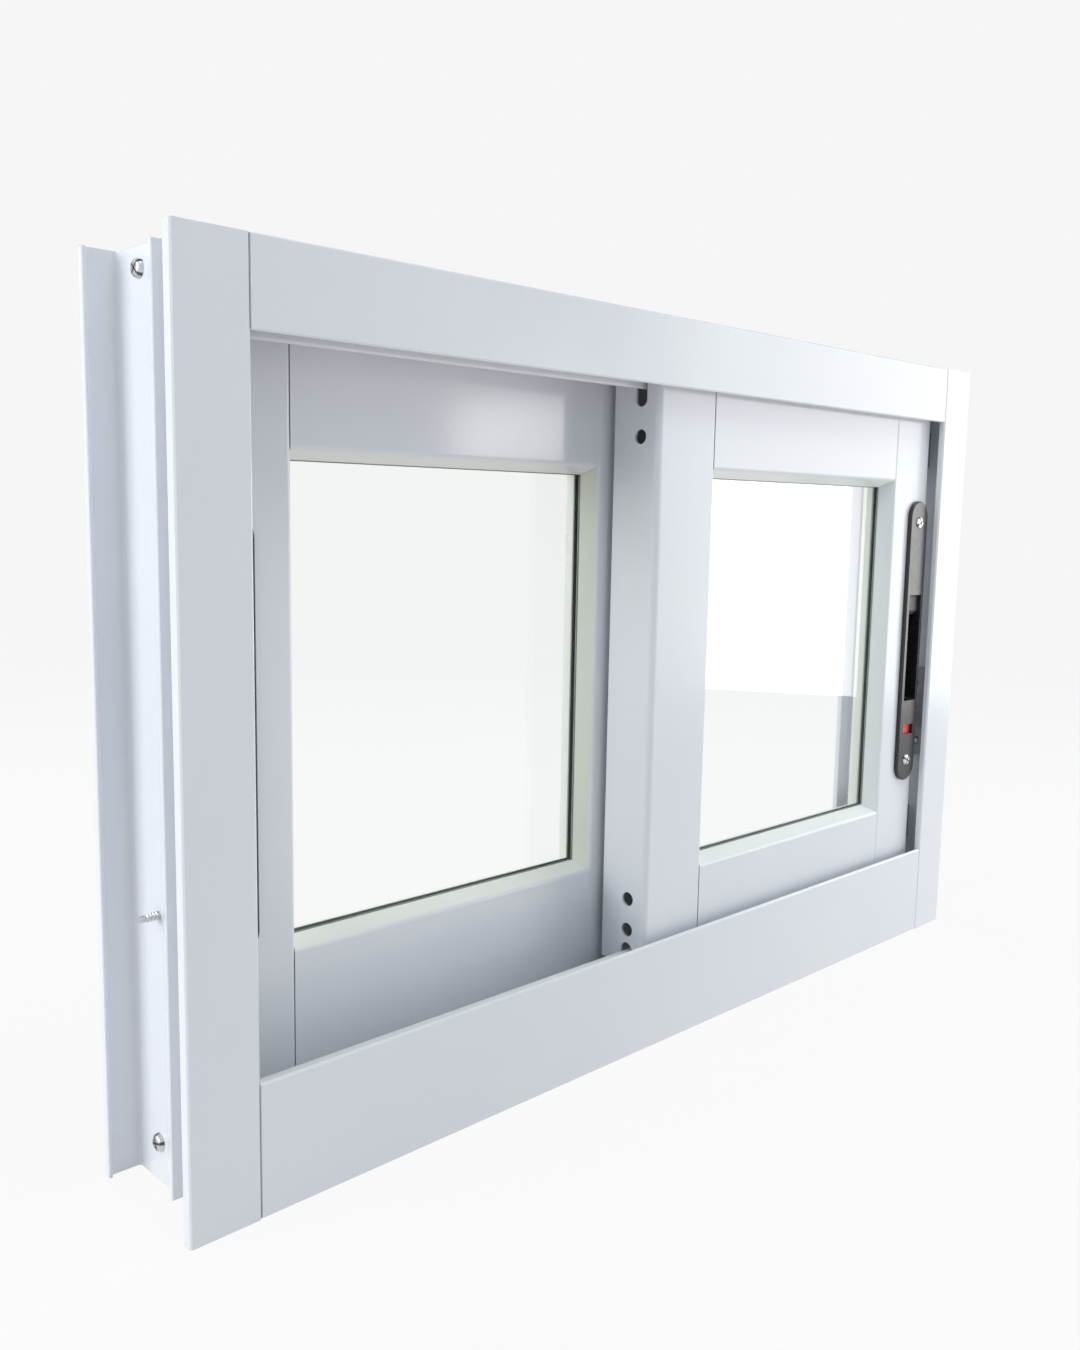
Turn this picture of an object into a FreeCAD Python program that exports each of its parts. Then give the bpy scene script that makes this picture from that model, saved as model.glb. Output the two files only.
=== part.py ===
import FreeCAD, Part
import math
import os

# A two-track horizontal sliding window: a fixed frame of four aluminium extrusions and two glazed sashes.
# The origin is on the floor under the middle of the frame. X runs to the right as seen from indoors,
# Y runs from the indoor face (front) to the outdoor face (rear), and Z runs up. All lengths are in mm.

# Frame sizes
WIDTH = 612.0
HEIGHT = 400.0
DEPTH = 77.0
WALL = 1.8
JAMB_FACE = 33.0
HEAD_FACE = 36.0
SILL_FACE = 60.0
SILL_BEAD = 2.6
SILL_BEAD_DROP = 5.0
REAR_UPSTAND = 46.0
EDGE_ROUND = 0.7
LIP_EDGE = 0.4
FLAT_BELOW = 1.2
JOINT_GAP = 0.15
ROUND_FLAT = 0.1
OVERRUN = 1.0

# Jamb section, measured from the outer edge of the frame
FRONT_RETURN = 6.0
REAR_RETURN = 4.0
INNER_RETURN = 4.0
REAR_WEB_OUT = 16.0
FRONT_WEB_OUT = 18.0
KEY_RIB_TIP = 12.0
KEY_RIB_AHEAD = 2.5
KEY_RIB_SPREAD = 11.0
KEY_RIB_LAND = 1.0
DIVIDER_REACH = 28.0
DIVIDER_THICK = 1.6
WEB_FILLET = 1.6

# Tracks and guide fins
FRONT_FACE_SETBACK = 9.0
REAR_FACE_SETBACK = 5.0
SASH_SPACING = 11.0
TRACK_FLOOR = 28.0
TRACK_TOP = 50.0
TRACK_STEM = 2.4
TRACK_BULB = 5.0
TRACK_BULB_DROP = 4.0
MIDDLE_RIB_TOP = 36.0
HEAD_CEILING_DROP = 14.0
FIN_ABOVE_LIP = 0.2
FIN_THICK = 3.0

# Frame corner screws run through the jamb webs into round ports of the head and sill
PORT_INSET = 21.0
PORT_DROP_HEAD = 9.0
PORT_RISE_SILL = 18.5
PORT_OUTER = 6.8
PORT_BORE = 3.6
PORT_BITE = 0.2
SCREW_HOLE = 4.4
RIB_THICK = 1.6

# Drain slots in the outdoor wall of the sill
DRAIN_LENGTH = 30.0
DRAIN_HEIGHT = 5.0
DRAIN_FROM_END = 110.0

# Sash sizes
SASH_EDGE_GAP = 34.0
SASH_OVERLAP = 42.0
SASH_BOTTOM = 42.0
REAR_FOOT_DROP = 9.0
SASH_TOP_DROP = 20.0
LOCK_STILE = 45.5
MEETING_STILE = 48.5
TOP_RAIL_FACE = 57.0
BOTTOM_RAIL_FACE = 51.3
SASH_WALL = 1.6
STILE_ROUND = 3.5
REVEAL_ROUND = 2.5
SMALL_ROUND = 1.0

# Glazing: a sloped nose in front, the pane in a U gasket, and snap-in beads behind
NOSE_INSET = 5.0
NOSE_SHARE = 5 / 13
POCKET_DEPTH = 7.0
GLASS_THICK = 5.0
GLASS_BITE = 8.0
GASKET_THICK = 0.8
BEAD_SLOPE = 3.5
BEAD_GAP = 0.1

# Interlock legs between the two meeting stiles
HOOK_WALL = 1.6
FRONT_HOOK_REACH = 6.8
FRONT_HOOK_LENGTH = 2.5
REAR_RIB_FROM_EDGE = 32.0
REAR_RIB_REACH = 9.0
REAR_HOOK_LENGTH = 7.0

# Openings in the stiles and rails
NOTCH_WIDTH = 8.0
TOP_NOTCH_DEPTH = 25.6
BOTTOM_NOTCH_DEPTH = 12.4
ACCESS_HOLE = 8.0
GUIDE_ACCESS_DROP = 41.4
UPPER_ROLLER_ACCESS_RISE = 38.0
LOWER_ROLLER_ACCESS_RISE = 20.0
GUIDE_GROOVE = 9.0
ROLLER_CHANNEL_HEIGHT = 26.0
CHANNEL_LIP = 4.7

# Rollers and top guides
WHEEL_RIM = 18.0
WHEEL_ROOT = 14.0
WHEEL_WIDTH = 9.0
WHEEL_GROOVE = 6.6
WHEEL_GROOVE_ROOT = 4.0
AXLE = 4.0
RUNNING_GAP = 0.3
HOUSING_LENGTH = 44.0
CHEEK = 2.0
CHEEK_GAP = 0.5
HOUSING_FROM_STILE = 5.5
HOUSING_SKIRT_RISE = 10.5
HOUSING_SIDE = 5.0
HOUSING_ROUND = 2.0
HOUSING_TOP = 1.0
WHEEL_ROOM = 2.0
GUIDE_LENGTH = 20.0
GUIDE_HEIGHT = 20.0
GUIDE_SLOT = 4.4
GUIDE_SLOT_BELOW_FIN = 4.0
GUIDE_EDGE = 0.7

# Sash locks
LOCK_LENGTH = 197.0
LOCK_WIDTH = 22.5
LOCK_PROUD = 2.9
LOCK_FROM_EDGE = 3.3
LOCK_RIM_EDGE = 0.7
REAR_LOCK_DROP = 15.0
RECESS_LENGTH = 74.5
RECESS_WIDTH = 15.6
RECESS_DEPTH = 12.0
RECESS_ROUND = 0.6
RECESS_ABOVE_CENTRE = 33.5
CASE_WALL = 1.5
CASE_FIT = 0.3
SLIDER_HEIGHT = 13.5
SLIDER_SIDE_GAP = 0.3
SLIDER_TOP_GAP = 0.5
SLIDER_DEPTH = 8.0
SLIDER_SINK = 2.6
SLIDER_SCOOP = 3.0
SLIDER_EDGE = 0.5
WINDOW_WIDTH = 13.0
WINDOW_HEIGHT = 6.8
WINDOW_BELOW_RECESS = 24.0
INDICATOR_DEPTH = 4.5
INDICATOR_SINK = 2.3

# Lock keepers and stop blocks on the jamb webs
KEEPER_THICK = 3.0
KEEPER_WIDTH = 12.0
KEEPER_FROM_FACE = 6.0
KEEPER_LENGTH = 64.0
KEEPER_SCREW_SHARE = 0.216
KEEPER_SCREW_FROM_END = 11.0
KEEPER_HOOK = 6.5
KEEPER_HOOK_LENGTH = 22.0
KEEPER_HOOK_WIDTH = 6.0
KEEPER_HOOK_FOOT = 13.0
KEEPER_ROUND = 3.0
BLOCK_CLEAR = 5.0
BLOCK_WIDTH = 14.0
BLOCK_HEIGHT = 24.0
BLOCK_ROUND = 2.0
BLOCK_REARWARD = 2.0
BLOCK_FROM_SILL = 4.0
BLOCK_FROM_HEAD = 6.0

# Places that follow from the sizes
HALF_WIDTH = WIDTH / 2
HALF_DEPTH = DEPTH / 2
HEAD_CEILING = HEIGHT - HEAD_CEILING_DROP
FIN_TIP = HEIGHT - HEAD_FACE - FIN_ABOVE_LIP
SASH_TOP = HEIGHT - SASH_TOP_DROP
TOP_RAIL_EDGE = SASH_TOP - TOP_RAIL_FACE
BOTTOM_RAIL_EDGE = SASH_BOTTOM + BOTTOM_RAIL_FACE
TOP_NOTCH_END = SASH_TOP - TOP_NOTCH_DEPTH
BOTTOM_NOTCH_END = SASH_BOTTOM + BOTTOM_NOTCH_DEPTH
ROLLER_CHANNEL_TOP = SASH_BOTTOM + ROLLER_CHANNEL_HEIGHT
HOUSING_SKIRT = SASH_BOTTOM + HOUSING_SKIRT_RISE
REAR_SASH_BOTTOM = SASH_BOTTOM - REAR_FOOT_DROP
FRONT_LOCK_CENTRE = (SASH_BOTTOM + SASH_TOP) / 2
REAR_LOCK_CENTRE = FRONT_LOCK_CENTRE - REAR_LOCK_DROP
SASH_WIDTH = (WIDTH - 2 * SASH_EDGE_GAP + SASH_OVERLAP) / 2
SASH_THICK = (DEPTH - FRONT_FACE_SETBACK - SASH_SPACING - REAR_FACE_SETBACK) / 2
SASH_PITCH = SASH_THICK + SASH_SPACING
TRACK_CENTRES = (
    FRONT_FACE_SETBACK + SASH_THICK / 2,
    FRONT_FACE_SETBACK + SASH_PITCH + SASH_THICK / 2,
)
SASH_MIDDLE = SASH_THICK / 2
DIVIDER_CENTRE = (TRACK_CENTRES[0] + TRACK_CENTRES[1]) / 2
KEY_RIB_DEPTH = DIVIDER_CENTRE - KEY_RIB_AHEAD
KEY_RIB_FOOT = KEY_RIB_DEPTH + KEY_RIB_SPREAD
KEEPER_SCREW_BELOW_LOCK = KEEPER_SCREW_SHARE * (SASH_TOP - SASH_BOTTOM)
PORT_CENTRES = (PORT_INSET, DEPTH - PORT_INSET)
NOSE_DEPTH = NOSE_SHARE * SASH_THICK
GLASS_FRONT = NOSE_DEPTH + GASKET_THICK
POCKET_BACK = NOSE_DEPTH + GLASS_THICK + 2 * GASKET_THICK


def vector(x, y, z):
    return FreeCAD.Vector(x, y, z)


def corner_points(before, corner, after, radius):
    """Returns the two tangent points and the middle point of an arc at a corner."""
    to_before = (before - corner).normalize()
    to_after = (after - corner).normalize()
    half_angle = to_before.getAngle(to_after) / 2
    setback = radius / math.tan(half_angle)
    bisector = (to_before + to_after).normalize()
    centre = corner + bisector * (radius / math.sin(half_angle))
    middle = centre - bisector * radius
    return corner + to_before * setback, middle, corner + to_after * setback


def outline(points, place):
    """Makes a closed wire from (u, v) or (u, v, radius) points; place turns u, v into a vector.

    Corners with a radius under FLAT_BELOW are cut straight, as a small flat. Full round ends keep
    ROUND_FLAT between their two arcs. Cutters run OVERRUN past the faces that they cut.
    """
    corners = [place(point[0], point[1]) for point in points]
    radii = [point[2] if len(point) > 2 else 0.0 for point in points]
    edges = []
    first = None
    last = None
    for index, corner in enumerate(corners):
        before = corners[index - 1]
        after = corners[(index + 1) % len(corners)]
        if radii[index] > 0:
            start, middle, end = corner_points(before, corner, after, radii[index])
        else:
            start, middle, end = corner, None, corner
        if last is None:
            first = start
        else:
            edges.append(Part.makeLine(last, start))
        if middle is not None and radii[index] >= FLAT_BELOW:
            edges.append(Part.Arc(start, middle, end).toShape())
        elif middle is not None:
            edges.append(Part.makeLine(start, end))
        last = end
    edges.append(Part.makeLine(last, first))
    return Part.Wire(edges)


def section(points, place, direction, chambers=()):
    """Extrudes an outline with its hollow chambers along a direction."""
    solid = Part.Face(outline(points, place)).extrude(direction)
    for chamber in chambers:
        solid = solid.cut(Part.Face(outline(chamber, place)).extrude(direction))
    return solid


def box(x_range, y_range, z_range):
    """Makes a plain block between three pairs of limits."""
    size = [high - low for low, high in (x_range, y_range, z_range)]
    return Part.makeBox(size[0], size[1], size[2], vector(x_range[0], y_range[0], z_range[0]))


def rectangle(u_low, u_high, v_low, v_high, radius=0.0):
    corners = [(u_low, v_low), (u_high, v_low), (u_high, v_high), (u_low, v_high)]
    return [corner + (radius,) for corner in corners]


def sharp(points):
    """The same outline with square corners, for cutting what fits round it."""
    return [tuple(point[:2]) for point in points]


def rod(diameter, length, start, direction):
    return Part.makeCylinder(diameter / 2, length, start, direction)


def in_frame(shape):
    """Moves a frame member, drawn from the outer left front corner, to the part's own frame."""
    shape.translate(vector(-HALF_WIDTH, -HALF_DEPTH, 0))
    return shape


def mirrored(shape):
    return shape.mirror(vector(0, 0, 0), vector(1, 0, 0))


# Frame members

def jamb_inner_side():
    """The side of the jamb section that faces the sashes, from the front edge to the rear one."""
    front_web_in = FRONT_WEB_OUT + WALL
    rear_web_in = REAR_WEB_OUT + WALL
    return [
        (JAMB_FACE, INNER_RETURN, LIP_EDGE),
        (JAMB_FACE - WALL, INNER_RETURN, LIP_EDGE),
        (JAMB_FACE - WALL, WALL),
        (front_web_in, WALL),
        (front_web_in, DIVIDER_CENTRE - DIVIDER_THICK / 2),
        (DIVIDER_REACH, DIVIDER_CENTRE - DIVIDER_THICK / 2, LIP_EDGE),
        (DIVIDER_REACH, DIVIDER_CENTRE + DIVIDER_THICK / 2, LIP_EDGE),
        (rear_web_in, DIVIDER_CENTRE + DIVIDER_THICK / 2),
        (rear_web_in, DEPTH - WALL),
        (JAMB_FACE - WALL, DEPTH - WALL),
        (JAMB_FACE - WALL, DEPTH - INNER_RETURN, LIP_EDGE),
        (JAMB_FACE, DEPTH - INNER_RETURN, LIP_EDGE),
    ]


def jamb_section():
    """Outline of the left jamb, from its outer edge inwards and from the front face to the rear."""
    return [(0, 0, EDGE_ROUND), (JAMB_FACE, 0, SMALL_ROUND)] + jamb_inner_side() + [
        (JAMB_FACE, DEPTH, SMALL_ROUND),
        (0, DEPTH, EDGE_ROUND),
        (0, DEPTH - REAR_RETURN, LIP_EDGE),
        (WALL, DEPTH - REAR_RETURN, LIP_EDGE),
        (WALL, DEPTH - WALL),
        (REAR_WEB_OUT, DEPTH - WALL, WEB_FILLET),
        (REAR_WEB_OUT, KEY_RIB_FOOT, WEB_FILLET),
        (KEY_RIB_TIP, KEY_RIB_DEPTH + KEY_RIB_LAND, LIP_EDGE),
        (KEY_RIB_TIP, KEY_RIB_DEPTH, LIP_EDGE),
        (FRONT_WEB_OUT, KEY_RIB_DEPTH),
        (FRONT_WEB_OUT, WALL),
        (WALL, WALL),
        (WALL, FRONT_RETURN, LIP_EDGE),
        (0, FRONT_RETURN, LIP_EDGE),
    ]


def make_jamb():
    """Left jamb at full height with its corner screw holes."""
    def place(x, y):
        return vector(x, y, 0)

    jamb = section(jamb_section(), place, vector(0, 0, HEIGHT))
    for port_y in PORT_CENTRES:
        for port_z in (HEIGHT - PORT_DROP_HEAD, PORT_RISE_SILL):
            start = vector(KEY_RIB_TIP, port_y, port_z)
            length = WALL + FRONT_WEB_OUT - KEY_RIB_TIP + OVERRUN
            jamb = jamb.cut(rod(SCREW_HOLE, length, start, vector(1, 0, 0)))
    return in_frame(jamb)


def fin_outline(centre):
    """One guide fin of the head, seen from the left, running back to the ceiling."""
    half = FIN_THICK / 2
    return [
        (centre + half, HEAD_CEILING),
        (centre + half, FIN_TIP, half - ROUND_FLAT),
        (centre - half, FIN_TIP, half - ROUND_FLAT),
        (centre - half, HEAD_CEILING),
    ]


def rail_outline(centre):
    """One track rail of the sill with its rounded head, seen from the left."""
    stem = TRACK_STEM / 2
    bulb = TRACK_BULB / 2
    shoulder = TRACK_TOP - TRACK_BULB_DROP
    return [
        (centre - stem, TRACK_FLOOR),
        (centre - stem, shoulder - (bulb - stem)),
        (centre - bulb, shoulder, SMALL_ROUND / 2),
        (centre - bulb, TRACK_TOP, bulb - ROUND_FLAT),
        (centre + bulb, TRACK_TOP, bulb - ROUND_FLAT),
        (centre + bulb, shoulder, SMALL_ROUND / 2),
        (centre + stem, shoulder - (bulb - stem)),
        (centre + stem, TRACK_FLOOR),
    ]


def port(centre_y, centre_z, length):
    """Round screw port that runs along a head or sill."""
    start = vector(0, centre_y, centre_z)
    return rod(PORT_OUTER, length, start, vector(1, 0, 0)), rod(PORT_BORE, length, start, vector(1, 0, 0))


def cope_ends(member):
    """Notches both ends of a head or sill round the jamb's flanges, returns and divider."""
    outside = [
        (JAMB_FACE, DEPTH + OVERRUN),
        (-OVERRUN, DEPTH + OVERRUN),
        (-OVERRUN, -OVERRUN),
        (JAMB_FACE, -OVERRUN),
    ]
    shell = sharp(jamb_inner_side()) + outside
    full_height = vector(0, 0, HEIGHT + 2 * OVERRUN)
    blank = section(shell, lambda x, y: vector(x + JOINT_GAP, y, -OVERRUN), full_height)
    opposite = blank.mirror(vector(HALF_WIDTH, 0, 0), vector(1, 0, 0))
    return member.cut(blank).cut(opposite)


def make_head():
    """Head with two guide fins, one hollow chamber row and two screw ports."""
    def place(y, z):
        return vector(0, y, z)

    bottom = HEIGHT - HEAD_FACE
    shell = [
        (0, bottom, EDGE_ROUND),
        (0, HEIGHT, EDGE_ROUND),
        (DEPTH, HEIGHT, EDGE_ROUND),
        (DEPTH, bottom, EDGE_ROUND),
        (DEPTH - WALL, bottom, LIP_EDGE),
        (DEPTH - WALL, HEAD_CEILING),
    ]
    for centre in reversed(TRACK_CENTRES):
        shell += fin_outline(centre)
    shell += [(WALL, HEAD_CEILING), (WALL, bottom, LIP_EDGE)]
    floor = HEAD_CEILING + WALL
    ceiling = HEIGHT - WALL
    mid = DEPTH / 2
    chambers = [
        rectangle(WALL, mid - RIB_THICK / 2, floor, ceiling),
        rectangle(mid + RIB_THICK / 2, DEPTH - WALL, floor, ceiling),
    ]
    start = REAR_WEB_OUT + WALL
    length = WIDTH - 2 * start
    head = section(shell, place, vector(length, 0, 0), chambers)
    for centre in PORT_CENTRES:
        ring, bore = port(centre, HEIGHT - PORT_DROP_HEAD, length)
        head = head.fuse(ring).cut(bore)
    head.translate(vector(start, 0, 0))
    return in_frame(cope_ends(head.removeSplitter()))


def make_sill():
    """Sill with two track rails, a tall indoor upstand, three chambers and drain slots."""
    def place(y, z):
        return vector(0, y, z)

    shell = [
        (0, 0, EDGE_ROUND),
        (0, SILL_FACE, SMALL_ROUND),
        (SILL_BEAD, SILL_FACE, SMALL_ROUND),
        (SILL_BEAD, SILL_FACE - SILL_BEAD_DROP, LIP_EDGE),
        (WALL, SILL_FACE - SILL_BEAD_DROP - 2 * (SILL_BEAD - WALL)),
        (WALL, TRACK_FLOOR),
    ]
    shell += rail_outline(TRACK_CENTRES[0])
    shell += [
        (DIVIDER_CENTRE - WALL / 2, TRACK_FLOOR),
        (DIVIDER_CENTRE - WALL / 2, MIDDLE_RIB_TOP, EDGE_ROUND),
        (DIVIDER_CENTRE + WALL / 2, MIDDLE_RIB_TOP, EDGE_ROUND),
        (DIVIDER_CENTRE + WALL / 2, TRACK_FLOOR),
    ]
    shell += rail_outline(TRACK_CENTRES[1])
    shell += [
        (DEPTH - WALL, TRACK_FLOOR),
        (DEPTH - WALL, REAR_UPSTAND, EDGE_ROUND),
        (DEPTH, REAR_UPSTAND, EDGE_ROUND),
        (DEPTH, 0, EDGE_ROUND),
    ]
    low = WALL
    high = TRACK_FLOOR - WALL
    first_rib = PORT_INSET + PORT_OUTER / 2 - PORT_BITE
    second_rib = DEPTH - first_rib
    chambers = [
        rectangle(WALL, first_rib, low, high),
        rectangle(first_rib + RIB_THICK, second_rib - RIB_THICK, low, high),
        rectangle(second_rib, DEPTH - WALL, low, high),
    ]
    start = REAR_WEB_OUT + WALL
    length = WIDTH - 2 * start
    sill = section(shell, place, vector(length, 0, 0), chambers)
    for centre in PORT_CENTRES:
        ring, bore = port(centre, PORT_RISE_SILL, length)
        sill = sill.fuse(ring).cut(bore)
    for centre_x in (DRAIN_FROM_END, WIDTH - DRAIN_FROM_END):
        slot = rectangle(
            centre_x - start - DRAIN_LENGTH / 2, centre_x - start + DRAIN_LENGTH / 2,
            TRACK_FLOOR, TRACK_FLOOR + DRAIN_HEIGHT, DRAIN_HEIGHT / 2 - ROUND_FLAT,
        )
        cutter = Part.Face(outline(slot, lambda x, z: vector(x, DEPTH - WALL - OVERRUN, z)))
        sill = sill.cut(cutter.extrude(vector(0, WALL + 2 * OVERRUN, 0)))
    sill.translate(vector(start, 0, 0))
    for x_low in (start, WIDTH - JAMB_FACE):
        x_range = (x_low, x_low + JAMB_FACE - start)
        sill = sill.cut(box(x_range, (-OVERRUN, SILL_BEAD + JOINT_GAP), (TRACK_FLOOR, SILL_FACE + OVERRUN)))
    return in_frame(cope_ends(sill.removeSplitter()))


def make_keeper(lock_track):
    """Lock keeper on the left jamb web: a plate with two holes and a hooked tongue."""
    web = (FRONT_WEB_OUT, REAR_WEB_OUT)[lock_track] + WALL
    lock_centre = (FRONT_LOCK_CENTRE, REAR_LOCK_CENTRE)[lock_track]
    low = lock_centre - KEEPER_SCREW_BELOW_LOCK - KEEPER_SCREW_FROM_END
    centre_y = TRACK_CENTRES[lock_track] - SASH_MIDDLE + KEEPER_FROM_FACE
    half = KEEPER_WIDTH / 2
    plate = rectangle(centre_y - half, centre_y + half, low, low + KEEPER_LENGTH, KEEPER_ROUND)
    keeper = Part.Face(outline(plate, lambda y, z: vector(web, y, z))).extrude(vector(KEEPER_THICK, 0, 0))
    foot = web + KEEPER_THICK
    tip = foot + KEEPER_HOOK
    tongue_low = low + (KEEPER_LENGTH - KEEPER_HOOK_LENGTH) / 2
    tongue_high = tongue_low + KEEPER_HOOK_LENGTH
    tongue_face = [
        (foot, tongue_low),
        (tip, tongue_low, EDGE_ROUND),
        (tip, tongue_high, EDGE_ROUND),
        (tip - KEEPER_HOOK / 2, tongue_high),
        (tip - KEEPER_HOOK / 2, tongue_low + KEEPER_HOOK_FOOT, EDGE_ROUND),
        (foot, tongue_low + KEEPER_HOOK_FOOT),
    ]
    wire = outline(tongue_face, lambda x, z: vector(x, centre_y - KEEPER_HOOK_WIDTH / 2, z))
    keeper = keeper.fuse(Part.Face(wire).extrude(vector(0, KEEPER_HOOK_WIDTH, 0)))
    for hole_z in (low + KEEPER_SCREW_FROM_END, low + KEEPER_LENGTH - KEEPER_SCREW_FROM_END):
        start = vector(web - OVERRUN, centre_y, hole_z)
        keeper = keeper.cut(rod(SCREW_HOLE, KEEPER_THICK + 2 * OVERRUN, start, vector(1, 0, 0)))
    return in_frame(keeper)


def make_stop_blocks():
    """Four buffers on the left jamb web, at the top and bottom of each track."""
    blocks = []
    for track, web in ((0, FRONT_WEB_OUT + WALL), (1, REAR_WEB_OUT + WALL)):
        y_mid = TRACK_CENTRES[track] + BLOCK_REARWARD
        reach = SASH_EDGE_GAP - BLOCK_CLEAR
        low_z = SILL_FACE + BLOCK_FROM_SILL
        high_z = HEIGHT - HEAD_FACE - BLOCK_FROM_HEAD - BLOCK_HEIGHT
        for z in (low_z, high_z):
            face = [
                (web, y_mid - BLOCK_WIDTH / 2),
                (reach, y_mid - BLOCK_WIDTH / 2, BLOCK_ROUND),
                (reach, y_mid + BLOCK_WIDTH / 2, BLOCK_ROUND),
                (web, y_mid + BLOCK_WIDTH / 2),
            ]
            wire = outline(face, lambda x, y: vector(x, y, 0))
            block = Part.Face(wire).extrude(vector(0, 0, BLOCK_HEIGHT))
            block.translate(vector(0, 0, z))
            blocks.append(block)
    return in_frame(Part.makeCompound(blocks))


# Sash members are drawn with u from the meeting edge to the lock edge and v from the sash's front face

def nose_chamber(edge, sign):
    """Hollow of the sloped nose; edge is where the nose starts and sign points to the pane."""
    slope = NOSE_INSET / NOSE_DEPTH
    near = edge - sign * (POCKET_DEPTH - SASH_WALL)
    return [
        (near, SASH_WALL),
        (edge - sign * SASH_WALL / 2, SASH_WALL),
        (edge + sign * (slope * (NOSE_DEPTH - SASH_WALL) - SASH_WALL), NOSE_DEPTH - SASH_WALL),
        (near, NOSE_DEPTH - SASH_WALL),
    ]


def swapped(points):
    """Turns a section drawn as (height, depth) into (depth, height)."""
    return [(point[1], point[0]) + tuple(point[2:]) for point in points]


def stile_section(width):
    """Outline of a stile from its outer edge towards the pane, with its two chambers."""
    shell = [
        (0, 0, STILE_ROUND),
        (width, 0, REVEAL_ROUND),
        (width + NOSE_INSET, NOSE_DEPTH, LIP_EDGE),
        (width - POCKET_DEPTH, NOSE_DEPTH),
        (width - POCKET_DEPTH, SASH_THICK),
        (0, SASH_THICK),
    ]
    chamber = rectangle(SASH_WALL, width - POCKET_DEPTH - SASH_WALL, SASH_WALL, SASH_THICK - SASH_WALL)
    return shell, [chamber, nose_chamber(width, 1)]


def interlock_section(hook):
    """Outline of the hooked leg behind the front sash, or ahead of the rear sash."""
    if hook == "behind":
        leg_end = SASH_THICK + FRONT_HOOK_REACH
        return [
            (0, SASH_THICK),
            (HOOK_WALL, SASH_THICK),
            (HOOK_WALL, leg_end - HOOK_WALL),
            (FRONT_HOOK_LENGTH, leg_end - HOOK_WALL, LIP_EDGE),
            (FRONT_HOOK_LENGTH, leg_end, LIP_EDGE),
            (0, leg_end, SMALL_ROUND),
        ]
    rib = REAR_RIB_FROM_EDGE
    arm = HOOK_WALL - REAR_RIB_REACH
    return [
        (rib - HOOK_WALL, 0),
        (rib - HOOK_WALL, -REAR_RIB_REACH, SMALL_ROUND),
        (rib + REAR_HOOK_LENGTH, -REAR_RIB_REACH, LIP_EDGE),
        (rib + REAR_HOOK_LENGTH, arm, LIP_EDGE),
        (rib, arm),
        (rib, 0),
    ]


def make_interlock(hook):
    """Hooked leg that runs the full height of a meeting stile."""
    def place(u, v):
        return vector(u, v, SASH_BOTTOM)

    return section(interlock_section(hook), place, vector(0, 0, SASH_TOP - SASH_BOTTOM))


def slot_cutter(z_end, z_open, length):
    """Round-ended slot that lets a fin or a rail pass through a whole stile."""
    radius = NOTCH_WIDTH / 2
    arc_z = z_end - radius if z_open < z_end else z_end + radius
    shaft = box((-OVERRUN, length), (SASH_MIDDLE - radius, SASH_MIDDLE + radius), sorted((arc_z, z_open)))
    start = vector(-OVERRUN, SASH_MIDDLE, arc_z)
    return shaft.fuse(rod(NOTCH_WIDTH, length + OVERRUN, start, vector(1, 0, 0)))


def make_stile(width, foot, with_holes):
    """Stile at the u = 0 side of a sash, with its notches and access holes; foot is its lower end."""
    shell, chambers = stile_section(width)
    stile = section(shell, lambda u, v: vector(u, v, foot), vector(0, 0, SASH_TOP - foot), chambers)
    reach = width + NOSE_INSET + OVERRUN
    stile = stile.cut(slot_cutter(TOP_NOTCH_END, SASH_TOP + OVERRUN, reach))
    stile = stile.cut(slot_cutter(BOTTOM_NOTCH_END, foot - OVERRUN, reach))
    if with_holes:
        heights = (
            SASH_TOP - GUIDE_ACCESS_DROP,
            SASH_BOTTOM + UPPER_ROLLER_ACCESS_RISE,
            SASH_BOTTOM + LOWER_ROLLER_ACCESS_RISE,
        )
        for hole_z in heights:
            start = vector(-OVERRUN, SASH_MIDDLE, hole_z)
            stile = stile.cut(rod(ACCESS_HOLE, SASH_WALL + 2 * OVERRUN, start, vector(1, 0, 0)))
    return stile


def cope_cutter(width):
    """Room that a rail's end leaves for the stile: square at the face, sloped at the nose."""
    shell = [
        (-OVERRUN, -OVERRUN),
        (width, -OVERRUN),
        (width, 0),
        (width + NOSE_INSET, NOSE_DEPTH),
        (width - POCKET_DEPTH, NOSE_DEPTH),
        (width - POCKET_DEPTH, SASH_THICK + OVERRUN),
        (-OVERRUN, SASH_THICK + OVERRUN),
    ]
    return section(shell, lambda u, v: vector(u + JOINT_GAP, v, 0), vector(0, 0, HEIGHT))


def make_rail(shell, chambers):
    """Extrudes a rail between the stiles and copes both of its ends."""
    start = MEETING_STILE - POCKET_DEPTH
    length = SASH_WIDTH - LOCK_STILE + POCKET_DEPTH - start
    rail = section(shell, lambda v, z: vector(start, v, z), vector(length, 0, 0), chambers)
    lock_side = cope_cutter(LOCK_STILE).mirror(vector(SASH_WIDTH / 2, 0, 0), vector(1, 0, 0))
    return rail.cut(cope_cutter(MEETING_STILE)).cut(lock_side)


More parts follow.
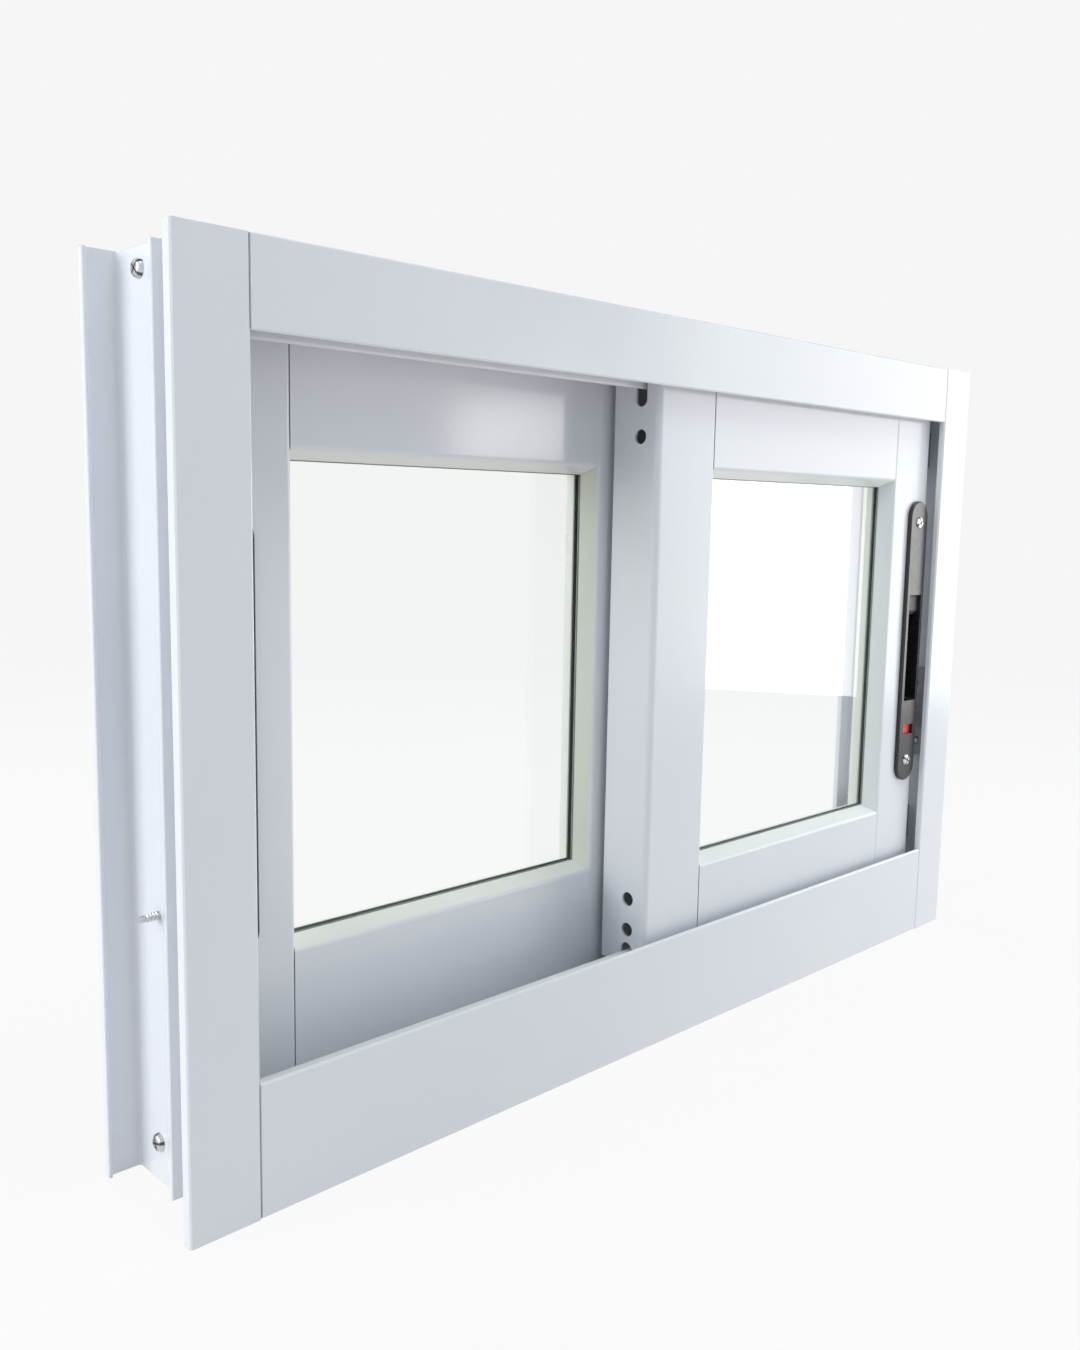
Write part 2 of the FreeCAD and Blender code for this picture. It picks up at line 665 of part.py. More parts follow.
def make_top_rail():
    """Top rail between the stiles, with a groove for the guide fin."""
    half = GUIDE_GROOVE / 2
    shell = [
        (0, TOP_RAIL_EDGE, REVEAL_ROUND),
        (NOSE_DEPTH, TOP_RAIL_EDGE - NOSE_INSET, LIP_EDGE),
        (NOSE_DEPTH, TOP_RAIL_EDGE + POCKET_DEPTH),
        (SASH_THICK, TOP_RAIL_EDGE + POCKET_DEPTH),
        (SASH_THICK, SASH_TOP, EDGE_ROUND),
        (SASH_MIDDLE + half, SASH_TOP, LIP_EDGE),
        (SASH_MIDDLE + half, TOP_NOTCH_END),
        (SASH_MIDDLE - half, TOP_NOTCH_END),
        (SASH_MIDDLE - half, SASH_TOP, LIP_EDGE),
        (0, SASH_TOP, EDGE_ROUND),
    ]
    low = TOP_RAIL_EDGE + POCKET_DEPTH + SASH_WALL
    groove_floor = TOP_NOTCH_END - SASH_WALL
    chamber = [
        (SASH_WALL, low),
        (SASH_THICK - SASH_WALL, low),
        (SASH_THICK - SASH_WALL, SASH_TOP - SASH_WALL),
        (SASH_MIDDLE + half + SASH_WALL, SASH_TOP - SASH_WALL),
        (SASH_MIDDLE + half + SASH_WALL, groove_floor),
        (SASH_MIDDLE - half - SASH_WALL, groove_floor),
        (SASH_MIDDLE - half - SASH_WALL, SASH_TOP - SASH_WALL),
        (SASH_WALL, SASH_TOP - SASH_WALL),
    ]
    return make_rail(shell, [chamber, swapped(nose_chamber(TOP_RAIL_EDGE, -1))])


def make_bottom_rail(foot):
    """Bottom rail between the stiles, with a channel for the rollers that opens at its foot."""
    shell = [
        (0, BOTTOM_RAIL_EDGE, REVEAL_ROUND),
        (NOSE_DEPTH, BOTTOM_RAIL_EDGE + NOSE_INSET, LIP_EDGE),
        (NOSE_DEPTH, BOTTOM_RAIL_EDGE - POCKET_DEPTH),
        (SASH_THICK, BOTTOM_RAIL_EDGE - POCKET_DEPTH),
        (SASH_THICK, foot, EDGE_ROUND),
        (SASH_THICK - SASH_WALL - CHANNEL_LIP, foot, LIP_EDGE),
        (SASH_THICK - SASH_WALL - CHANNEL_LIP, foot + SASH_WALL, LIP_EDGE),
        (SASH_THICK - SASH_WALL, foot + SASH_WALL),
        (SASH_THICK - SASH_WALL, ROLLER_CHANNEL_TOP),
        (SASH_WALL, ROLLER_CHANNEL_TOP),
        (SASH_WALL, foot + SASH_WALL),
        (SASH_WALL + CHANNEL_LIP, foot + SASH_WALL, LIP_EDGE),
        (SASH_WALL + CHANNEL_LIP, foot, LIP_EDGE),
        (0, foot, EDGE_ROUND),
    ]
    chamber = rectangle(
        SASH_WALL, SASH_THICK - SASH_WALL,
        ROLLER_CHANNEL_TOP + SASH_WALL, BOTTOM_RAIL_EDGE - POCKET_DEPTH - SASH_WALL,
    )
    return make_rail(shell, [chamber, swapped(nose_chamber(BOTTOM_RAIL_EDGE, 1))])


def daylight(grow):
    """Limits of the opening between stiles and rails, grown outwards by the given amount."""
    u_range = (MEETING_STILE - grow, SASH_WIDTH - LOCK_STILE + grow)
    z_range = (BOTTOM_RAIL_EDGE - grow, TOP_RAIL_EDGE + grow)
    return u_range, z_range


def make_glass():
    u_range, z_range = daylight(GLASS_BITE - NOSE_INSET)
    return box(u_range, (GLASS_FRONT, GLASS_FRONT + GLASS_THICK), z_range)


def make_gasket():
    """U-shaped gasket loop round the pane, with its lips flush with the nose."""
    outer_u, outer_z = daylight(GLASS_BITE - NOSE_INSET + GASKET_THICK)
    inner_u, inner_z = daylight(-NOSE_INSET)
    loop = box(outer_u, (NOSE_DEPTH, POCKET_BACK), outer_z)
    loop = loop.cut(box(inner_u, (NOSE_DEPTH - OVERRUN, POCKET_BACK + OVERRUN), inner_z))
    return loop.cut(make_glass())


def bead_section(edge, sign, grow=0.0):
    """Snap-in bead behind the pane; edge is the daylight edge and sign points to the pane."""
    seat = edge - sign * (POCKET_DEPTH - BEAD_GAP)
    tip = edge + sign * (NOSE_INSET + grow)
    shell = [
        (seat, POCKET_BACK),
        (tip, POCKET_BACK, LIP_EDGE),
        (tip - sign * BEAD_SLOPE, SASH_THICK, REVEAL_ROUND / 2),
        (seat, SASH_THICK, LIP_EDGE),
    ]
    chamber = [
        (seat + sign * SASH_WALL, POCKET_BACK + SASH_WALL),
        (tip - sign * 2 * SASH_WALL, POCKET_BACK + SASH_WALL),
        (tip - sign * (BEAD_SLOPE + SASH_WALL), SASH_THICK - SASH_WALL),
        (seat + sign * SASH_WALL, SASH_THICK - SASH_WALL),
    ]
    return shell, chamber


def make_beads():
    """Four beads: the upright ones run full height and the level ones are coped between them."""
    u_range, z_range = daylight(0)
    pocket_u, pocket_z = daylight(POCKET_DEPTH - BEAD_GAP)
    upright = vector(0, 0, pocket_z[1] - pocket_z[0])
    level = vector(pocket_u[1] - pocket_u[0], 0, 0)
    beads = []
    cutters = []
    for edge, sign in ((u_range[0], 1), (u_range[1], -1)):
        shell, chamber = bead_section(edge, sign)
        beads.append(section(shell, lambda u, v: vector(u, v, pocket_z[0]), upright, [chamber]))
        wider = sharp(bead_section(edge, sign, BEAD_GAP)[0])
        cutters.append(section(wider, lambda u, v: vector(u, v, pocket_z[0]), upright))
    for edge, sign in ((z_range[0], 1), (z_range[1], -1)):
        shell, chamber = bead_section(edge, sign)
        bead = section(swapped(shell), lambda v, z: vector(pocket_u[0], v, z), level, [swapped(chamber)])
        beads.append(bead.cut(cutters[0]).cut(cutters[1]))
    return Part.makeCompound(beads)


def roller_centres():
    inset = HOUSING_FROM_STILE + HOUSING_LENGTH / 2
    return (MEETING_STILE + inset, SASH_WIDTH - LOCK_STILE - inset)


def wheel_height():
    return TRACK_TOP + RUNNING_GAP + WHEEL_ROOT / 2


def make_roller_housings():
    """Two inverted channels that hold the wheels on their axles under the bottom rail."""
    housings = []
    half_width = WHEEL_WIDTH / 2 + CHEEK_GAP + CHEEK
    for centre in roller_centres():
        side = [
            (centre - HOUSING_LENGTH / 2, ROLLER_CHANNEL_TOP),
            (centre + HOUSING_LENGTH / 2, ROLLER_CHANNEL_TOP),
            (centre + HOUSING_LENGTH / 2, ROLLER_CHANNEL_TOP - HOUSING_SIDE),
            (centre + WHEEL_ROOT / 2, HOUSING_SKIRT, HOUSING_ROUND),
            (centre - WHEEL_ROOT / 2, HOUSING_SKIRT, HOUSING_ROUND),
            (centre - HOUSING_LENGTH / 2, ROLLER_CHANNEL_TOP - HOUSING_SIDE),
        ]
        wire = outline(side, lambda u, z: vector(u, SASH_MIDDLE - half_width, z))
        housing = Part.Face(wire).extrude(vector(0, 2 * half_width, 0))
        slot = box(
            (centre - WHEEL_RIM / 2 - WHEEL_ROOM, centre + WHEEL_RIM / 2 + WHEEL_ROOM),
            (SASH_MIDDLE - half_width + CHEEK, SASH_MIDDLE + half_width - CHEEK),
            (HOUSING_SKIRT - OVERRUN, ROLLER_CHANNEL_TOP - HOUSING_TOP),
        )
        axle_start = vector(centre, SASH_MIDDLE - half_width, wheel_height())
        housing = housing.cut(slot).fuse(rod(AXLE, 2 * half_width, axle_start, vector(0, 1, 0)))
        housings.append(housing.removeSplitter())
    return Part.makeCompound(housings)


def make_roller_wheels():
    """Two grooved wheels that run on the rounded head of the track rail."""
    wheels = []
    rim = WHEEL_RIM / 2
    root = WHEEL_ROOT / 2
    half = WHEEL_WIDTH / 2
    groove = WHEEL_GROOVE / 2
    groove_root = WHEEL_GROOVE_ROOT / 2
    bore = AXLE / 2 + RUNNING_GAP
    for centre in roller_centres():
        shell = [
            (bore, -half),
            (rim, -half),
            (rim, -groove),
            (root, -groove_root),
            (root, groove_root),
            (rim, groove),
            (rim, half),
            (bore, half),
        ]
        wire = outline(shell, lambda radius, v: vector(centre + radius, SASH_MIDDLE + v, wheel_height()))
        axis_point = vector(centre, SASH_MIDDLE, wheel_height())
        wheels.append(Part.Face(wire).revolve(axis_point, vector(0, 1, 0), 360))
    return Part.makeCompound(wheels)


def make_top_guides():
    """Two slotted blocks in the top rail's groove that steady the sash on the guide fin."""
    guides = []
    half_slot = GUIDE_SLOT / 2
    half = GUIDE_GROOVE / 2
    base = TOP_NOTCH_END
    shell = [
        (SASH_MIDDLE - half, base),
        (SASH_MIDDLE + half, base),
        (SASH_MIDDLE + half, base + GUIDE_HEIGHT, GUIDE_EDGE),
        (SASH_MIDDLE + half_slot, base + GUIDE_HEIGHT, GUIDE_EDGE),
        (SASH_MIDDLE + half_slot, FIN_TIP - GUIDE_SLOT_BELOW_FIN, GUIDE_EDGE),
        (SASH_MIDDLE - half_slot, FIN_TIP - GUIDE_SLOT_BELOW_FIN, GUIDE_EDGE),
        (SASH_MIDDLE - half_slot, base + GUIDE_HEIGHT, GUIDE_EDGE),
        (SASH_MIDDLE - half, base + GUIDE_HEIGHT, GUIDE_EDGE),
    ]
    low_u = MEETING_STILE + HOUSING_FROM_STILE
    high_u = SASH_WIDTH - LOCK_STILE - HOUSING_FROM_STILE - GUIDE_LENGTH
    for start in (low_u, high_u):
        wire = outline(shell, lambda v, z: vector(start, v, z))
        guides.append(Part.Face(wire).extrude(vector(GUIDE_LENGTH, 0, 0)))
    return Part.makeCompound(guides)


def lock_middle():
    return SASH_WIDTH - LOCK_FROM_EDGE - LOCK_WIDTH / 2


def recess_limits(lock_centre):
    top = lock_centre + RECESS_ABOVE_CENTRE
    return top - RECESS_LENGTH, top


def make_lock_plate(lock_centre):
    """Lock plate with round ends, a deep finger recess and a small indicator window."""
    middle = lock_middle()
    low = lock_centre - LOCK_LENGTH / 2
    high = lock_centre + LOCK_LENGTH / 2
    round_end = LOCK_WIDTH / 2 - ROUND_FLAT / 2
    face = rectangle(middle - LOCK_WIDTH / 2, middle + LOCK_WIDTH / 2, low, high, round_end)
    plate = Part.Face(outline(face, lambda u, z: vector(u, -LOCK_PROUD, z))).extrude(vector(0, LOCK_PROUD, 0))
    rim = plate.Faces[0]
    for candidate in plate.Faces:
        if candidate.CenterOfMass.y < rim.CenterOfMass.y:
            rim = candidate
    plate = plate.makeChamfer(LOCK_RIM_EDGE, rim.Edges)
    recess_low, recess_high = recess_limits(lock_centre)
    half = RECESS_WIDTH / 2
    case = box(
        (middle - half - CASE_WALL, middle + half + CASE_WALL),
        (0, RECESS_DEPTH + CASE_WALL),
        (recess_low - WINDOW_BELOW_RECESS - CASE_WALL, recess_high + CASE_WALL),
    )
    plate = plate.fuse(case)
    hollow = rectangle(middle - half, middle + half, recess_low, recess_high, RECESS_ROUND)
    wire = outline(hollow, lambda u, z: vector(u, -LOCK_PROUD - OVERRUN, z))
    plate = plate.cut(Part.Face(wire).extrude(vector(0, OVERRUN + LOCK_PROUD + RECESS_DEPTH, 0)))
    window = window_limits(lock_centre)
    plate = plate.cut(box(window[0], (-LOCK_PROUD - OVERRUN, INDICATOR_DEPTH - LOCK_PROUD), window[1]))
    return plate.removeSplitter()


def window_limits(lock_centre):
    recess_low = recess_limits(lock_centre)[0]
    window_high = recess_low - WINDOW_BELOW_RECESS + WINDOW_HEIGHT
    middle = lock_middle()
    return (middle - WINDOW_WIDTH / 2, middle + WINDOW_WIDTH / 2), (window_high - WINDOW_HEIGHT, window_high)


def make_indicator(lock_centre):
    """Flag that fills the small window a little below the plate's face."""
    u_range, z_range = window_limits(lock_centre)
    return box(u_range, (INDICATOR_SINK - LOCK_PROUD, INDICATOR_DEPTH - LOCK_PROUD), z_range)


def make_slider(lock_centre):
    """Thumb slide at the top of the recess, with a sloped lower edge for the finger."""
    middle = lock_middle()
    half = RECESS_WIDTH / 2 - SLIDER_SIDE_GAP
    top = recess_limits(lock_centre)[1] - SLIDER_TOP_GAP
    low = top - SLIDER_HEIGHT
    front = SLIDER_SINK - LOCK_PROUD
    profile = [
        (front, top, SLIDER_EDGE),
        (front, low + SLIDER_SCOOP, SLIDER_EDGE),
        (front + SLIDER_SCOOP, low, SLIDER_EDGE),
        (SLIDER_DEPTH, low, SLIDER_EDGE),
        (SLIDER_DEPTH, top, SLIDER_EDGE),
    ]
    wire = outline(profile, lambda v, z: vector(middle - half, v, z))
    return Part.Face(wire).extrude(vector(2 * half, 0, 0))


def lock_pocket(lock_centre):
    """Cut-out in the stile's front wall for the lock case, with its fitting clearance."""
    middle = lock_middle()
    half = RECESS_WIDTH / 2 + CASE_WALL + CASE_FIT
    recess_low, recess_high = recess_limits(lock_centre)
    low = recess_low - WINDOW_BELOW_RECESS - CASE_WALL - CASE_FIT
    high = recess_high + CASE_WALL + CASE_FIT
    return box((middle - half, middle + half), (-OVERRUN, SASH_WALL + OVERRUN), (low, high))


def make_lock_stile(lock_centre, foot):
    """Lock stile at the u = SASH_WIDTH side, cut out for the lock case."""
    stile = make_stile(LOCK_STILE, foot, False)
    stile = stile.mirror(vector(SASH_WIDTH / 2, 0, 0), vector(1, 0, 0))
    return stile.cut(lock_pocket(lock_centre))


def make_sash(name, hook, lock_centre, foot):
    """All pieces of one sash, drawn with u along X from the meeting edge."""
    return {
        name + "_meeting_stile": make_stile(MEETING_STILE, foot, True),
        name + "_interlock": make_interlock(hook),
        name + "_lock_stile": make_lock_stile(lock_centre, foot),
        name + "_top_rail": make_top_rail(),
        name + "_bottom_rail": make_bottom_rail(foot),
        name + "_glass": make_glass(),
        name + "_glass_gasket": make_gasket(),
        name + "_glazing_beads": make_beads(),
        name + "_roller_housings": make_roller_housings(),
        name + "_roller_wheels": make_roller_wheels(),
        name + "_top_guides": make_top_guides(),
        name + "_lock_plate": make_lock_plate(lock_centre),
        name + "_lock_slider": make_slider(lock_centre),
        name + "_lock_indicator": make_indicator(lock_centre),
    }


def place_front(shape):
    """Puts a front sash piece in its closed place, with its lock edge near the right jamb."""
    x = HALF_WIDTH - SASH_EDGE_GAP - SASH_WIDTH
    shape.translate(vector(x, FRONT_FACE_SETBACK - HALF_DEPTH, 0))
    return shape


def place_rear(shape):
    """Puts a rear sash piece in its closed place, mirrored, with its lock edge near the left jamb."""
    x = HALF_WIDTH - SASH_EDGE_GAP - SASH_WIDTH
    shape.translate(vector(x, FRONT_FACE_SETBACK + SASH_PITCH - HALF_DEPTH, 0))
    return mirrored(shape)


def build():
    """Returns every piece of the window by the name of its file."""
    pieces = {
        "left_jamb": make_jamb(),
        "right_jamb": mirrored(make_jamb()),
        "head": make_head(),
        "sill": make_sill(),
        "left_lock_keeper": make_keeper(1),
        "right_lock_keeper": mirrored(make_keeper(0)),
        "left_stop_blocks": make_stop_blocks(),
        "right_stop_blocks": mirrored(make_stop_blocks()),
    }
    for name, shape in make_sash("front", "behind", FRONT_LOCK_CENTRE, SASH_BOTTOM).items():
        pieces[name] = place_front(shape)
    for name, shape in make_sash("rear", "ahead", REAR_LOCK_CENTRE, REAR_SASH_BOTTOM).items():
        pieces[name] = place_rear(shape)
    return pieces


os.makedirs("parts", exist_ok=True)
for node, shape in build().items():
    shape.exportStep("parts/" + node + ".step")
    print(node, len(shape.Solids), "solids, volume", round(shape.Volume / 1000, 2), "cm3", shape.isValid())
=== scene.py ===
"""Finishes, small fasteners, studio and camera for a two-track horizontal sliding window.

Everything is in metres: X to the right as seen from indoors, Y from indoors to outdoors, Z up.
"""
import logging
import math
from dataclasses import dataclass
from enum import Enum

import bmesh
import bpy
from mathutils import Matrix, Vector


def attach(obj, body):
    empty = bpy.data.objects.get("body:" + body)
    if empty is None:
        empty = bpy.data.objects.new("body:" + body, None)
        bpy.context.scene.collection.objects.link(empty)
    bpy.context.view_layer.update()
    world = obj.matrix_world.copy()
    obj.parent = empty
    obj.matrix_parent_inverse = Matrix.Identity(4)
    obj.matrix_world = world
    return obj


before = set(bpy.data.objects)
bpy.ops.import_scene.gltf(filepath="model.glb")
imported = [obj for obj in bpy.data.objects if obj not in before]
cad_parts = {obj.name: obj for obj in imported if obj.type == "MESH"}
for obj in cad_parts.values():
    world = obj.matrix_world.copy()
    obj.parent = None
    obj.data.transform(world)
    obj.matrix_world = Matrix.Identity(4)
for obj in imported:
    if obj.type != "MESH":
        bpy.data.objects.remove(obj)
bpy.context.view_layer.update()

LOG = logging.getLogger("window")

Colour = tuple[float, float, float]
Opaque = tuple[float, float, float, float]
Place = tuple[float, float, float]
Span = tuple[float, float]
Socket = bpy.types.NodeSocket
Source = bpy.types.NodeSocket | float | tuple[float, ...]

WHITE: Colour = (1.0, 1.0, 1.0)
WHOLE: Span = (0.0, 1.0)
INDOORS: Place = (0, -1, 0)
# Material number of the dark finish that paints the shade inside a screw's cross recess.
RECESS_SHADE_FINISH = 1
SHARP_ANGLE = math.radians(38)


class Side(Enum):
    """The two sides of the window, each with its direction along X."""

    LEFT = -1
    RIGHT = 1

    @property
    def label(self) -> str:
        """The side's name as the pieces have it."""
        return self.name.lower()


class Track(Enum):
    """The two tracks, each with the name of its sash."""

    FRONT = "front"
    REAR = "rear"

    @property
    def side(self) -> Side:
        """The side where the sash locks."""
        return Side.RIGHT if self is Track.FRONT else Side.LEFT

    @property
    def foot(self) -> float:
        """Height of the lower ends of the stiles; the rear sash reaches further down."""
        return 0.042 if self is Track.FRONT else 0.033


class Run(Enum):
    """The axis that an extruded bar runs along, given by the squeeze of its die lines."""

    LEVEL = (1.2, 260.0, 260.0)
    UPRIGHT = (260.0, 260.0, 1.2)


class Mixed(Enum):
    """What a mix node blends: its data type, and the numbers of its two inputs and its output."""

    VALUE = ("FLOAT", 2, 3, 0)
    COLOUR = ("RGBA", 6, 7, 2)


class Easing(Enum):
    """How a value goes from one end of a range to the other."""

    STRAIGHT = "LINEAR"
    SMOOTH = "SMOOTHSTEP"


@dataclass(frozen=True)
class Cloud:
    """A cloudy pattern: features per metre, finer octaves and the squeeze along each axis."""

    scale: float
    detail: float
    squeeze: Place = (1.0, 1.0, 1.0)


@dataclass(frozen=True)
class Grain:
    """Fine relief: its pattern, its depth in metres and how much of it counts, from 0 to 1."""

    pattern: Cloud
    depth: float
    strength: float


def opaque(colour: Colour) -> Opaque:
    """The colour with full opacity, as node inputs take it."""
    return (*colour, 1.0)


class Graph:
    """A node tree, with short calls that add and link nodes."""

    pattern_core: Span = (0.3, 0.7)

    def __init__(self, tree: bpy.types.NodeTree) -> None:
        """Takes up a node tree."""
        self.tree = tree

    def add(self, kind: str, **values: object) -> bpy.types.Node:
        """Adds a node.

        Args:
            kind: the node's type name.
            values: node settings, or default values of its inputs with spaces as underscores.

        Returns:
            The new node.
        """
        node = self.tree.nodes.new(kind)
        for key, value in values.items():
            name = key.replace("_", " ")
            if hasattr(node, key):
                setattr(node, key, value)
            elif name in node.inputs:
                node.inputs[name].default_value = value
            else:
                raise KeyError(kind + " has no setting " + key)
        return node

    def join(self, source: Source, target: Socket) -> None:
        """Links a socket to an input, or gives the input a plain value.

        Args:
            source: the socket or the value.
            target: the input.
        """
        if isinstance(source, Socket):
            self.tree.links.new(source, target)
        else:
            target.default_value = source

    def calculate(self, operation: str, *terms: Source) -> Socket:
        """Adds one step of arithmetic.

        Args:
            operation: the math node's operation.
            terms: what it works on, in order.

        Returns:
            The value socket.
        """
        node = self.add("ShaderNodeMath", operation=operation)
        for term, target in zip(terms, node.inputs):
            self.join(term, target)
        return node.outputs[0]

    def rescale(self, value: Socket, start: Span, end: Span,
                easing: Easing = Easing.STRAIGHT) -> Socket:
        """Maps one range of a value to another.

        Args:
            value: the value.
            start: the range it comes from.
            end: the range it goes to.
            easing: how it goes from end to end.

        Returns:
            The mapped value socket.
        """
        node = self.add("ShaderNodeMapRange", interpolation_type=easing.value)
        for name, limit in zip(("From Min", "From Max", "To Min", "To Max"), (*start, *end)):
            node.inputs[name].default_value = limit
        self.join(value, node.inputs["Value"])
        return node.outputs["Result"]

    def place(self, squeeze: Place = (1.0, 1.0, 1.0)) -> Socket:
        """Object coordinates, squeezed.

        Args:
            squeeze: how much each axis is multiplied by.

        Returns:
            The vector socket.
        """
        coordinates = self.add("ShaderNodeTexCoord")
        mapping = self.add("ShaderNodeMapping", Scale=squeeze)
        self.join(coordinates.outputs["Object"], mapping.inputs["Vector"])
        return mapping.outputs["Vector"]

    def distance(self, axis: str, middle: float) -> Socket:
        """Distance from a plane across one axis.

        Args:
            axis: the axis, X, Y or Z.
            middle: where the plane crosses it.

        Returns:
            The value socket, in metres.
        """
        axes = self.add("ShaderNodeSeparateXYZ")
        self.join(self.place(), axes.inputs["Vector"])
        return self.calculate("ABSOLUTE", self.calculate("SUBTRACT", axes.outputs[axis], middle))

    def cloud(self, pattern: Cloud) -> Socket:
        """A cloudy pattern.

        Args:
            pattern: its scale, detail and squeeze.

        Returns:
            The value socket.
        """
        noise = self.add("ShaderNodeTexNoise", Scale=pattern.scale, Detail=pattern.detail)
        self.join(self.place(pattern.squeeze), noise.inputs["Vector"])
        return noise.outputs["Fac"]

    def spread(self, pattern: Cloud, end: Span = WHOLE) -> Socket:
        """Maps the core of a cloudy pattern to a range."""
        return self.rescale(self.cloud(pattern), self.pattern_core, end)

    def tint(self, pattern: Cloud, tones: tuple[Colour, Colour]) -> Socket:
        """Colours a cloudy pattern.

        Args:
            pattern: the pattern.
            tones: the colours at its low and its high end.

        Returns:
            The colour socket.
        """
        ramp = self.add("ShaderNodeValToRGB")
        for stop, tone in zip(ramp.color_ramp.elements, tones):
            stop.color = opaque(tone)
        self.join(self.spread(pattern), ramp.inputs["Fac"])
        return ramp.outputs["Color"]

    def relief(self, grain: Grain, under: Socket | None = None,
               where: Socket | None = None) -> Socket:
        """Turns a grain into relief.

        Args:
            grain: its pattern, depth and strength.
            under: relief that this one lies on.
            where: 1 where the grain is and 0 elsewhere; without it the grain is all over.

        Returns:
            The normal socket.
        """
        height = self.cloud(grain.pattern)
        if where is not None:
            height = self.calculate("MULTIPLY", height, where)
        bump = self.add("ShaderNodeBump", Strength=grain.strength, Distance=grain.depth)
        self.join(height, bump.inputs["Height"])
        if under is not None:
            self.join(under, bump.inputs["Normal"])
        return bump.outputs["Normal"]

    def blend(self, mixed: Mixed, share: Socket, first: Source, second: Source) -> Socket:
        """Blends two values or two colours.

        Args:
            mixed: what is blended.
            share: how much of the second one there is.
            first: the first one.
            second: the second one.

        Returns:
            The blended socket.
        """
        data_type, low, high, result = mixed.value
        mix = self.add("ShaderNodeMix", data_type=data_type)
        self.join(share, mix.inputs["Factor"])
        self.join(first, mix.inputs[low])
        self.join(second, mix.inputs[high])
        return mix.outputs[result]

    def blend_shaders(self, share: Socket, first: Socket, second: Socket) -> Socket:
        """Blends two shaders.

        Args:
            share: how much of the second one there is.
            first: the first shader.
            second: the second shader.

        Returns:
            The shader socket.
        """
        mix = self.add("ShaderNodeMixShader")
        for source, target in zip((share, first, second), mix.inputs):
            self.join(source, target)
        return mix.outputs[0]

    def seen_rays(self) -> Socket:
        """One for rays from the camera, off a mirror or through glass, and nought for others.

        Returns:
            The value socket.
        """
        rays = self.add("ShaderNodeLightPath").outputs
        first = self.calculate("MAXIMUM", rays["Is Camera Ray"], rays["Is Glossy Ray"])
        return self.calculate("MAXIMUM", first, rays["Is Transmission Ray"])


class Surface(Graph):
    """The graph of one material, which starts with a surface shader."""

    def __init__(self, name: str) -> None:
        """Starts the material.

        Args:
            name: the material's name.
        """
        self.material = bpy.data.materials.new(name)
        self.material.use_nodes = True
        super().__init__(self.material.node_tree)
        self.shader = self.tree.nodes["Principled BSDF"]
        self.output = self.tree.nodes["Material Output"]

    def set(self, **values: Source) -> None:
        """Sets or links inputs of the surface shader, with spaces written as underscores."""
        for name, value in values.items():
            self.join(value, self.shader.inputs[name.replace("_", " ")])

    def show(self, share: Socket, shader: Socket) -> None:
        """Shows another shader in place of the surface shader, by a share."""
        blended = self.blend_shaders(share, self.shader.outputs[0], shader)
        self.join(blended, self.output.inputs["Surface"])


@dataclass(frozen=True)
class PaneLipLight:
    """The slanted lip round a pane, where the coat is given painted green-tinted light from the
    glass.
    """

    axis: str
    middle: float
    half: float
    colour: Colour
    fade: float = 0.0008

    def cast(self, graph: Surface, coat: Socket) -> Socket:
        """Paints light on the coat where the bar faces the pane: the lip colour stands for
        green-tinted light through the glass.

        Args:
            graph: the material's graph.
            coat: the coat's colour.

        Returns:
            The colour with the painted light on the lip in it.
        """
        reach = graph.distance(self.axis, self.middle)
        share = graph.rescale(reach, (self.half, self.half - self.fade), WHOLE)
        return graph.blend(Mixed.COLOUR, share, coat, opaque(self.colour))


@dataclass(frozen=True)
class SawCuts:
    """The two sawn ends of an upright bar, where the metal is bare."""

    middle: float
    half: float
    skin: float = 0.00012
    metal: Colour = (0.62, 0.63, 0.65)
    gloss: Span = (0.30, 0.52)
    gloss_cloud: Cloud = Cloud(1.0, 2.0, (1400.0, 120.0, 120.0))
    marks: Grain = Grain(Cloud(1.0, 3.0, (1600.0, 90.0, 90.0)), 0.00008, 0.50)

    def bare(self, graph: Surface, colour: Socket, roughness: Socket,
             normal: Socket) -> tuple[Socket, Socket, Socket]:
        """Bares the metal at both ends of the bar.

        Args:
            graph: the material's graph.
            colour: the coat's colour.
            roughness: the coat's roughness.
            normal: the coat's relief.

        Returns:
            Colour, roughness and relief with the sawn ends in them.
        """
        height = graph.distance("Z", self.middle)
        cut = graph.calculate("GREATER_THAN", height, self.half - self.skin)
        graph.set(Metallic=cut)
        return (
            graph.blend(Mixed.COLOUR, cut, colour, opaque(self.metal)),
            graph.blend(Mixed.VALUE, cut, roughness, graph.spread(self.gloss_cloud, self.gloss)),
            graph.relief(self.marks, normal, cut),
        )


@dataclass(frozen=True)
class PowderCoat:
    """Glossy white stoved powder on extruded aluminium, with orange peel and faint die lines."""

    name: str
    run: Run
    tones: tuple[Colour, Colour] = ((0.770, 0.788, 0.828), (0.800, 0.815, 0.850))
    gloss: Span = (0.15, 0.22)
    cuts: SawCuts | None = None
    lip: PaneLipLight | None = None
    tone_cloud: Cloud = Cloud(9.0, 3.0)
    gloss_cloud: Cloud = Cloud(45.0, 4.0)
    line_depth: float = 0.00006
    line_strength: float = 0.10
    peel: Grain = Grain(Cloud(620.0, 2.0), 0.00005, 0.16)
    ior: float = 1.40

    def build(self) -> bpy.types.Material:
        """Makes the material.

        Returns:
            The material.
        """
        graph = Surface(self.name)
        colour = graph.tint(self.tone_cloud, self.tones)
        # Painted light: green-tinted light through the glass, painted on the lip round the pane.
        if self.lip is not None:
            colour = self.lip.cast(graph, colour)
        roughness = graph.spread(self.gloss_cloud, self.gloss)
        lines = Grain(Cloud(1.0, 2.0, self.run.value), self.line_depth, self.line_strength)
        normal = graph.relief(self.peel, graph.relief(lines))
        if self.cuts is not None:
            colour, roughness, normal = self.cuts.bare(graph, colour, roughness, normal)
        graph.set(Base_Color=colour, Roughness=roughness, Normal=normal, IOR=self.ior)
        return graph.material


